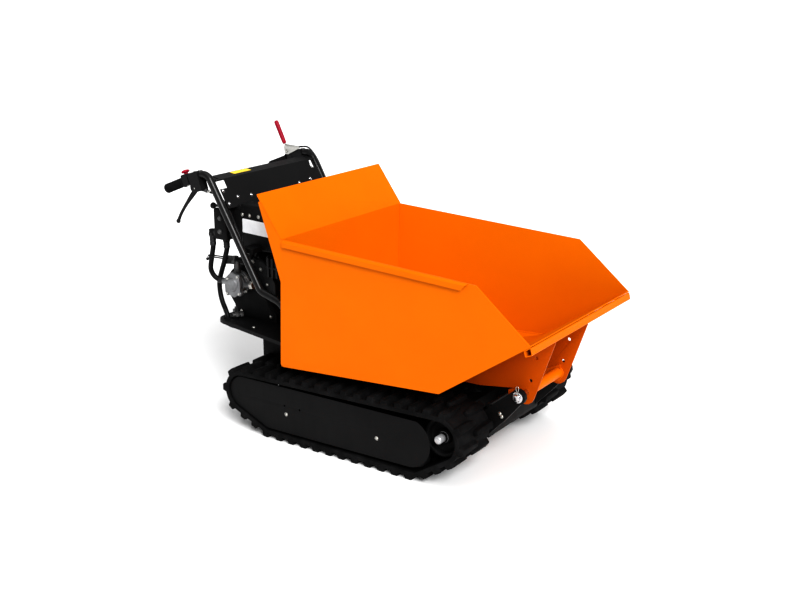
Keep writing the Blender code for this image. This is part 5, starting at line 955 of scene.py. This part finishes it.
def fuel_and_air():
    """The fuel tank with its moulded seam, the air cleaner and the guarded muffler."""
    node = "fuel_tank"
    soft_box(node, (-393, -112, 535), (-275, 150, 640), 20, 6, "black_paint")
    neck = turned([(-20, 18), (-4, 18), (-2, 19.5), (0, 19.5)], FUEL_FILLER, UP, 36)
    soften(piece("fuel_saddle", node, "black_paint", block((-355, -60, 508.3), (-295, 60, 556)), neck,
                 angle=32.0), 1.2)
    flange = rounded([(-395.5, -114.5), (-272.5, -114.5), (-272.5, 152.5), (-395.5, 152.5)], 21)
    slab("fuel_seam", flange, 3.6, 588, node, "black_paint", 1.2, level=True)
    node = "air_cleaner"
    soft_box(node, (-205, 64, 452), (-85, 150, 535), 12, 5)
    starts = [-192 + k * 16.8 for k in range(6)]
    collar = turned([(0, 20), (22, 20)], (-150, 50.3, 480), (0, 1, 0), 36)
    piece("cleaner_ribs", node, "black_plastic", collar,
          *(block((x, 149.2, 468), (x + 5, 151.2, 519)) for x in starts), angle=32.0)
    piece("cleaner_knob", node, "black_plastic", knurled((-145, 107, 534.5), UP, 12.5, 13, 10, 0.10),
          angle=32.0)
    node = "muffler"
    soft_box(node, (-222, -150, 452), (-92, -72, 532), 15, 5, "dark_casting")
    inlet = turned([(0, 16), (20, 16)], (-152, -60.3, 480), (0, -1, 0), 32)
    outlet = turned([(0, 7), (0, 9.5), (28, 9.5), (28, 7)], (-100, -118, 500), (1, -0.2, 0.15), 28, True)
    piece("muffler_pipes", node, "dark_casting", inlet, outlet, angle=32.0)
    starts = [-207 + k * 18.5 for k in range(6)]
    soften(piece("muffler_guard", node, "dark_casting", *(
        block((x, -156, 458), (x + 8, -148.5, 526)) for x in starts),
                 block((-211, -154.5, 488), (-103, -151.5, 494)), angle=30.0), 1)


def oil_tank():
    """The sheet steel oil tank: rounded folds, lugs, neck, welded ends, screws and bare label."""
    node = "oil_tank"
    soft_box(node, (-270, -205, 560), (-85, 205, 710), 6.5, 4)
    lugs = [block((-229.9, low, 562), (-181.9, high, 578)) for low, high in ((-252.2, -195), (195, 252.2))]
    neck = turned([(-20, 14), (-2, 14), (-1.5, 15.5), (0, 15.5)], OIL_FILLER, UP, 32)
    soften(piece("tank_lugs", node, "black_tank", *lugs, neck, angle=32.0), 1)
    corners = [(-263, 567), (-92, 567), (-92, 703), (-263, 703)]
    piece("tank_welds", node, "black_tank", *(weld(across(first, y), across(second, y), 1.7, 4.4)
                                              for y in (-204.4, 204.4)
                                              for first, second in zip(corners, corners[1:] + corners[:1])),
          angle=60.0)
    piece("tank_screws", node, "zinc_steel", *(dome_bolt((x, sign * 204.6, 674.5), (0, sign, 0), 5.6)
                                               for sign in (-1, 1) for x in (-262, -230.7, -192.5)),
          turned([(0, 9.2), (7, 9.2)], (-270, -40, 585), (-1, 0, 0), 6))
    places = ((-262, 662), (-264.5, 615.5), (-130, 610.5), (-133, 657))
    label("tank_label", [across(place, -205.1) for place in places], node, WHITE_FILM, (0, -0.6, 0))


rounded_copies(("engine_block", 2.2, 2), ("deck_plate", 1.2, 2))
deck()
belt_case()
pump()
engine()
starter()
filler_cap("fuel_cap", FUEL_FILLER, 24, 14, 24)
filler_cap("oil_cap", OIL_FILLER, 19, 11, 20)
fuel_and_air()
oil_tank()


# Operator end, valve, hoses and cables
STEER_PIVOT = Vector((-399, 758))
VALVE_MIDDLE = -225


def bar_point(distance, lift):
    """A side view point on a bar's top run, at a distance from its tip, lifted square to it."""
    return BAR_TIP + BAR_RUN * distance + BAR_UP * lift


def handlebar(side, sign):
    """One smoothly bent tube with the weld round its foot."""
    y = sign * BAR_MIDDLE
    foot = (-42, sign * 235)
    corners = [across(place, y) for place in (BAR_TIP, BAR_TOP, (-140, 447), (-52, 421))]
    corners += [(*foot, DECK_TOP + 40), (*foot, DECK_TOP + 0.3)]
    name = f"handlebar_{side}"
    stand_in(name, tube(bent(corners, 34, 4.0), BAR_RADIUS, 36), look=BAR_LOOK, angle=40.0)
    piece(f"bar_weld_{side}", name, "black_paint",
          bead([(*place, DECK_TOP + 1.4) for place in arc(foot, 13, 0, 360, 30)], 2.2), angle=60.0)


def grip(side, sign):
    """The ribbed rubber grip with its closed end and flange."""
    profile = [(-12, 10.5), (-11.6, 12.8), (-10, 15.2), (-8, 16.2), (2, 16.4), (3, 15.8)]
    for rib in (4.2 + 4 * k for k in range(17)):
        profile += [(rib, 14.9), (rib + 1, 14.9), (rib + 1.7, 16), (rib + 3, 16)]
    profile += [(72.8, 16.2), (74.5, 18), (75.8, 18.9), (79, 18.9), (80.5, 17.6), (80.5, 13), (-0.3, 13)]
    stand_in(f"grip_{side}", turned(profile, across(BAR_TIP, sign * BAR_MIDDLE), across(BAR_RUN, 0), 48),
             angle=38.0)


def steering(side, sign):
    """The squeeze lever with its ball end and pin, and what holds its perch."""
    y = sign * BAR_MIDDLE
    spine = [across(place, 0) for place in (STEER_PIVOT, (-423, 732), (-453, 697), (-480, 661), (-495, 634))]
    widths = (8.5, 8, 5.4, 4.6, 5)
    fine = smooth(spine, 6.1)
    left, right = [], []
    for k, here in enumerate(fine):
        ahead = (fine[min(k + 1, len(fine) - 1)] - fine[max(k - 1, 0)]).normalized()
        aside = Vector((-ahead.z, 0, ahead.x))
        share = k / (len(fine) - 1) * (len(widths) - 1)
        low = min(int(share), len(widths) - 2)
        width = widths[low] + (widths[low + 1] - widths[low]) * (share - low)
        for edge, place in ((left, here + aside * width), (right, here - aside * width)):
            edge.append((place.x, place.z))
    name = f"steering_lever_{side}"
    slab(f"{name}_fine", right[2:] + left[::-1][:-2] + arc(STEER_PIVOT, 8.5, -40, 130, 12), 7.6, y, name,
         "black_plastic", 2, stands=True)
    ball = [(-6.708 * cos(pi * k / 12), 7.8 * sin(pi * k / 12)) for k in range(12)] + [(6.708, 0)]
    piece(f"lever_ball_{side}_fine", name, "black_plastic",
          turned(ball, (spine[-1].x, y, spine[-1].z), (0, 1, 0)))
    piece(f"lever_pin_{side}_fine", name, "zinc_steel",
          turned([(-15, 2.6), (-14.6, 3), (14.6, 3), (15, 2.6)], across(STEER_PIVOT, y), (0, 1, 0)))
    perch = f"lever_perch_{side}"
    piece(f"perch_screws_{side}", perch, "zinc_steel",
          *(dome_bolt(across(bar_point(distance, 16.3), y + offset), across(BAR_UP, 0), 4.2)
            for distance in (125.3, 145.3) for offset in (-10.5, 10.5)))
    run = Vector((28, 0, -2)).normalized()
    base = across(STEER_PIVOT + Vector((36, -5.4)), y)
    piece(f"adjuster_nut_{side}", perch, "zinc_steel",
          turned([(0, 6.6), (1, 7.2), (4, 7.2), (5, 6.6)], base, run, 6),
          knurled(base + run * 5.2, run, 3, 6.8, 14, 0.10), look=DULL_LOOK, angle=32.0)


def clutch():
    """The drive clutch lever: its pivot bolt, clamp screws and the dipped vinyl sleeve."""
    pivot = bar_point(100.5, 24.5)
    plate_y = BAR_MIDDLE - 19.6
    base = across(pivot + Vector((-2, 14)), 0)
    run = Vector((-492, 0, 911)) - base
    reach = run.length
    stand_in("clutch_sleeve", turned([(14.6, 3), (15, 5.6), (17, 6.6), (23, 7.4), (40, 7.9),
                                      (reach - 12, 8.2), (reach - 6, 8), (reach - 3, 6.8), (reach - 0.8, 4.2),
                                      (reach, 0)], (base.x, plate_y, base.z), run, 36, True), angle=50.0)
    piece("clutch_pivot_bolt", "clutch_lever", "zinc_steel",
          hex_bolt(across(pivot, plate_y - 2.2), (0, -1, 0), 5.8), angle=32.0)
    piece("clamp_screws", "clutch_clamp", "zinc_steel",
          *(dome_bolt(across(bar_point(distance, -16.8), BAR_MIDDLE + 11), -across(BAR_UP, 0), 4.2)
            for distance in (95.5, 107.5)))


def engine_stop():
    """The mushroom stop button and the screws of its housing."""
    up = across(BAR_UP, 0)
    stand_in("stop_button", turned([(-1.4, 6.8), (4, 6.8), (4.4, 10), (5.2, 12.6), (6.6, 13.8), (8.4, 14),
                                    (10.4, 13.6), (12.2, 11.8), (13.5, 8.6), (14.1, 4.5), (14.2, 0)],
                                   across(bar_point(95.5, 21), -BAR_MIDDLE), up, 44), angle=40.0)
    piece("stop_screws", "stop_housing", "zinc_steel",
          *(dome_bolt(across(bar_point(distance, -16.3), -BAR_MIDDLE), -up, 4) for distance in (88.5, 103.5)))


def console():
    """Screws of the console and its bare yellow label."""
    out = Vector((89, 0, 48)).normalized()
    screws = []
    for y, z in ((-243, 754.5), (-240, 714), (-190, 728), (-126, 724), (126, 724), (190, 728), (240, 714)):
        screws.append(dome_bolt(Vector((-325 - (z - 789) * 48 / 89, y, z)) - out * 0.2, out, 5.4))
    piece("console_screws", "console_panel", "polished_steel", *screws)
    plan = ((-364, -147), (-343, -147), (-343, -62), (-364, -62))
    corners = [(x, y, 795.2 - (x + 369) * 6 / 44) for x, y in plan]
    label("console_label", corners, "console_panel", YELLOW_FILM, Vector((6, 0, 44)).normalized() * 0.5)


def valve():
    """Plugs, unions, ports and boot of the control valve, and the knob of its lever."""
    node = "control_valve"
    down = (0, 0, -1)
    plug = [(0, 8.8), (1.6, 8.8), (1.6, 7.6), (4.6, 7.4), (6.4, 6), (7.4, 3.6), (7.6, 0)]
    piece("valve_plugs", node, "zinc_steel",
          *(turned(plug, (x, -246.1, z), (0, -1, 0), 30) for x, z in ((-322.3, 661.6), (-325, 616.2))),
          look=DULL_LOOK)
    unions = (([(0, 12.4), (1.2, 13.4), (10, 13.4), (11.2, 12.4)], (-354.5, VALVE_MIDDLE, 607),
               (-1, 0, -0.05)), ([(0, 11.8), (1.2, 13), (11, 13), (12.2, 11.8)], (-380, VALVE_MIDDLE, 603.5),
                                 down), ([(0, 11), (1, 12.2), (9.2, 12.2), (10.2, 11)], (-327, -216, 587.5),
                                         down))
    ports = [turned([(0, 7), (5, 7), (6, 6)], (-298.2, VALVE_MIDDLE, z), (1, 0, 0), 6)
             for z in (604, 634, 664)]
    piece("valve_unions", node, "black_alloy", *(turned(*union, 6) for union in unions), *ports, angle=32.0)
    piece("valve_boot", node, "rubber", turned(
        [(-3, 0), (-3, 14.5), (0, 15), (3, 14.5), (5.5, 11.8), (5.5, 8)], (-322, VALVE_MIDDLE, 698.5), UP, 32,
        True), angle=60.0)
    piece("valve_knob_fine", "valve_lever", "black_plastic", turned(
        [(0, 4.8), (3, 7.8), (7, 10.2), (11.5, 11), (15.5, 9.8), (18.5, 6.6), (20, 0)],
        (-360, VALVE_MIDDLE, 695.5), (-1, 0, -0.05), 32), angle=50.0)


def valve_bracket():
    """The folded sheet that carries the control valve from the console."""
    outline = rounded([(-306, 706), (-306, 598), (-276, 598), (-244, 640), (-244, 682), (-274, 706)], 6)
    slab("valve_bracket", outline, 3, -203, "control_valve", "black_paint",
         holes=[arc(place, 4, 0, 330, 11) for place in ((-290, 685), (-260, 656))])


HOSE_PUMP = [(-380, -225, 593.7), (-380, -225, 574), (-381, -224, 553), (-392, -221, 516), (-405, -215, 472),
             (-396.5, -209, 446), (-378.5, -202.6, 433.5), (-369.5, -200.6, 431.5), (-363.8, -200.6, 431.5)]
HOSE_LIFT = [(-327, -216, 575.7), (-327, -216, 558), (-330, -213, 548), (-352, -206, 498),
             (-391.5, -184, 441), (-399, -183, 405), (-387, -188, 360), (-353, -200, 314), (-350, -200, 285),
             (-338, -176, 268), (-318, -142, 260), (-296, -115, 256), (-262, -106, 256), (-180, -106, 256),
             (-110, -105, 254), (-50, -104, 226), (20, -92, 168), (85, -64, 126), (118, -45, 112),
             (137.7, -45, 112)]
SUCTION_HOSE = [(-316, -174, 507), (-290, -173, 508), (-270, -169, 518), (-256, -164, 546), (-253, -162, 564)]
FUEL_LINE = [(-262, -124, 511), (-252.7, -125, 507.5), (-194.3, -125, 483.4), (-180, -124, 472)]
BREATHER = [(-268, -118, 512), (-260, -130, 513), (-238, -134.5, 503), (-205, -136, 483), (-185, -133, 464),
            (-180, -123, 440)]


def hose_tie():
    """The tie that holds the two hoses together, with its head, its cut end and its stub."""
    first, second = Vector((-391.5, -221.2, 519)), Vector((-344, -208, 516))
    out = (first - second).normalized()
    side = Vector(UP).cross(out).normalized()
    rounds = [(out * cos(radians(a)) + side * sin(radians(a))) * 9.6 for a in range(-90, 91, 15)]
    loop = [first + reach for reach in rounds] + [second - reach for reach in rounds]
    loop.append(loop[0])
    head = first + out * 10.8
    size = Vector((2.2, 3, 2.8))
    tail = [head, head + Vector((-7, -1, -6)), head + Vector((-13, -1, -14))]
    piece("hose_tie", "hose_pump", "black_plastic",
          *(tube([point + Vector((0, 0, lift)) for point in loop], 1.3) for lift in (-1, 1)),
          block(head - size, head + size), hose(tail, 3, 1.3, 8), turned(
              [(0, 3.4), (1, 4.2), (16, 4.2), (20, 3.6), (21.5, 2.4)], (-397.5, -221.5, 514),
              (-0.84, 0, -0.54), 20),
          angle=50.0)


def hoses():
    """The two hydraulic hoses with their crimped ferrules, and the smaller hoses beside them."""
    for node, route in (("hose_pump", HOSE_PUMP), ("hose_lift", HOSE_LIFT)):
        stand_in(node, hose(route, 4, 8.5, 22), look=HOSE_LOOK, angle=50.0)
    crimped = [(0, 8.8), (0, 10.2), (1, 10.8), (4, 10.8), (4.6, 10.2), (7.5, 10.2), (8.1, 10.8), (11, 10.8),
               (11.6, 10.2), (15, 10.2), (15.6, 10.8), (21, 10.8), (22.2, 10.2), (22.5, 8.8)]
    ends = ((1.45, (-380, -225, 591.5), (0, 0.01, -1)), (1.0, (-327, -216, 577.5), (0, 0.02, -1)),
            (0.8, (-363, -200.6, 431.6), (-1, -0.02, 0.02)))
    piece("ferrules", "hose_pump", "black_alloy",
          *(turned([(along * stretch, radius) for along, radius in crimped], place, run, 32, True)
            for stretch, place, run in ends))
    hose_tie()
    ribs = [(0, 13), (1.6, 15), (8.6, 15), (9.8, 12.6)]
    for rib in (11.2 + 5.2 * k for k in range(5)):
        ribs += [(rib, 12.2), (rib + 0.8, 14.6), (rib + 3.4, 14.6), (rib + 4.2, 12.2)]
    ribs += [(38.6, 12.2), (39.2, 15.6), (50, 15.6), (51.5, 14.2)]
    piece("suction_union", "pump_body", "cast_aluminium",
          turned([(0, 11.5), (12, 11.5), (13, 9.5), (42, 9.5)], (-321, -174, 460), UP, 28),
          turned(ribs, (-374, -174, 499), (1, 0, 0.10), 32), look=DULL_LOOK, angle=32.0)
    piece("suction_hose", "pump_body", "rubber", hose(SUCTION_HOSE, 3, 9, 22), look=HOSE_LOOK, angle=50.0)
    node = "engine_block"
    straps = ((-289.3, 523, 10.5), (-296.1, 492.6, 6.4))
    piece("tank_strap_bolts", node, "zinc_steel",
          *(dome_bolt((x, -123.2, z), (0, -1, 0), size) for x, z, size in straps), look=DULL_LOOK)
    piece("fuel_line", node, "zinc_steel", hose(FUEL_LINE, 4, 3.6, 14), look=DULL_LOOK, angle=50.0)
    piece("breather_hose", node, "rubber", hose(BREATHER, 4, 6.2, 18), look=HOSE_LOOK, angle=50.0)


def cables():
    """Sheathed cables, with the crimped ends at their levers."""
    for side, sign in SIDES:
        x = -170.5 if side == "left" else -165
        half = [(-354.1, BAR_MIDDLE, 752), (-343, BAR_MIDDLE, 749), (-318, 246, 732), (-287.5, 238, 690),
                (-260, 231, 620), (-247, 229, 560), (-228, 220, 480), (-190, 186, 390), (x, 143, 320),
                (x, 143, 285), (-162, 131, 228), (-153, 108, 197), (-153, 90.6, 197)]
        stand_in(f"steering_cable_{side}", hose([(x, sign * y, z) for x, y, z in half], 6, 3, 14), angle=50.0)
    y = 262
    start, second = across(bar_point(112.6, 27.5), y), across(bar_point(127.5, 27.5), y)
    route = [start, second, (-385, 258, 824), (-346, 252, 824), (-305, 246, 790), (-262, 240, 725),
             (-205, 235, 640), (-166, 231, 570), (-140, 220, 500), (-146, 186, 400), (-159.5, 143, 320),
             (-159.5, 143, 285), (-142, 130, 225), (-128, 108, 186), (-128, 90.6, 186)]
    stand_in("clutch_cable", hose(route, 6, 3, 14), look=CABLE_LOOK, angle=50.0)
    piece("cable_ends", "clutch_cable", "zinc_steel", turned(
        [(0, 4.2), (1, 4.6), (14, 4.6), (15, 4)], start, across(BAR_RUN, 0), 20),
          *(turned([(0, 4.2), (1, 4.6), (12, 4.6), (13, 4)], (-354.5, sign * BAR_MIDDLE, 752), (1, 0, -0.25),
                   20) for _, sign in SIDES))


rounded_copies(("console_panel", 0.8, 2), ("control_valve", 1.4, 3), ("valve_lever", 0.8, 2),
               ("lever_perch_right", 1.6, 3), ("lever_perch_left", 1.6, 3), ("clutch_clamp", 1.4, 3),
               ("clutch_lever", 0.6, 2), ("stop_housing", 1.6, 3))
for side_name, side_sign in SIDES:
    handlebar(side_name, side_sign)
    grip(side_name, side_sign)
    steering(side_name, side_sign)
clutch()
engine_stop()
console()
valve()
valve_bracket()
hoses()
cables()


# Floor, light and camera
def studio():
    """A pale floor, a soft key, weaker light from above and behind, and an even surround."""
    bpy.ops.mesh.primitive_plane_add(size=400.0, location=(0.0, 0.0, 0.0))
    floor = bpy.context.object
    floor.name = "floor"
    pale = blank("pale_floor", 0.9, Specular_IOR_Level=0.1, Base_Color=(0.86, 0.86, 0.86, 1.0))
    floor.data.materials.append(pale)
    scene = bpy.context.scene
    scene.world = bpy.data.worlds.new("surround")
    scene.world.use_nodes = True
    sky = scene.world.node_tree.nodes["Background"]
    sky.inputs["Color"].default_value = (1.0, 1.0, 1.0, 1.0)
    sky.inputs["Strength"].default_value = 0.35
    for name, heading, height, spread_angle, power in (
            ("key", -37.0, 36.0, 28.0, 3.15),
            ("top", -60.0, 80.0, 60.0, 0.8),
            ("back", 165.0, 30.0, 60.0, 0.18)):
        lamp = bpy.data.lights.new(name, "SUN")
        lamp.angle = radians(spread_angle)
        lamp.energy = power
        made = bpy.data.objects.new(name, lamp)
        heading, height = radians(heading), radians(height)
        towards = Vector((cos(heading) * cos(height), sin(heading) * cos(height), sin(height)))
        made.location = towards * 6.0
        made.rotation_mode = "QUATERNION"
        made.rotation_quaternion = towards.to_track_quat("Z", "Y")
        scene.collection.objects.link(made)
    scene.view_settings.view_transform = "Standard"
    scene.view_settings.look = "High Contrast"


def camera():
    """The photograph's viewing angle."""
    lens = bpy.data.cameras.new("camera")
    lens.sensor_width = 36.0
    lens.lens = 52.37
    made = bpy.data.objects.new("camera", lens)
    made.location = INTO_FRAME @ Vector((2274.8, -2986, 1509.6))
    made.rotation_euler = (radians(73.1729), 0.0, radians(34.4849))
    bpy.context.scene.collection.objects.link(made)
    bpy.context.scene.camera = made


studio()
camera()
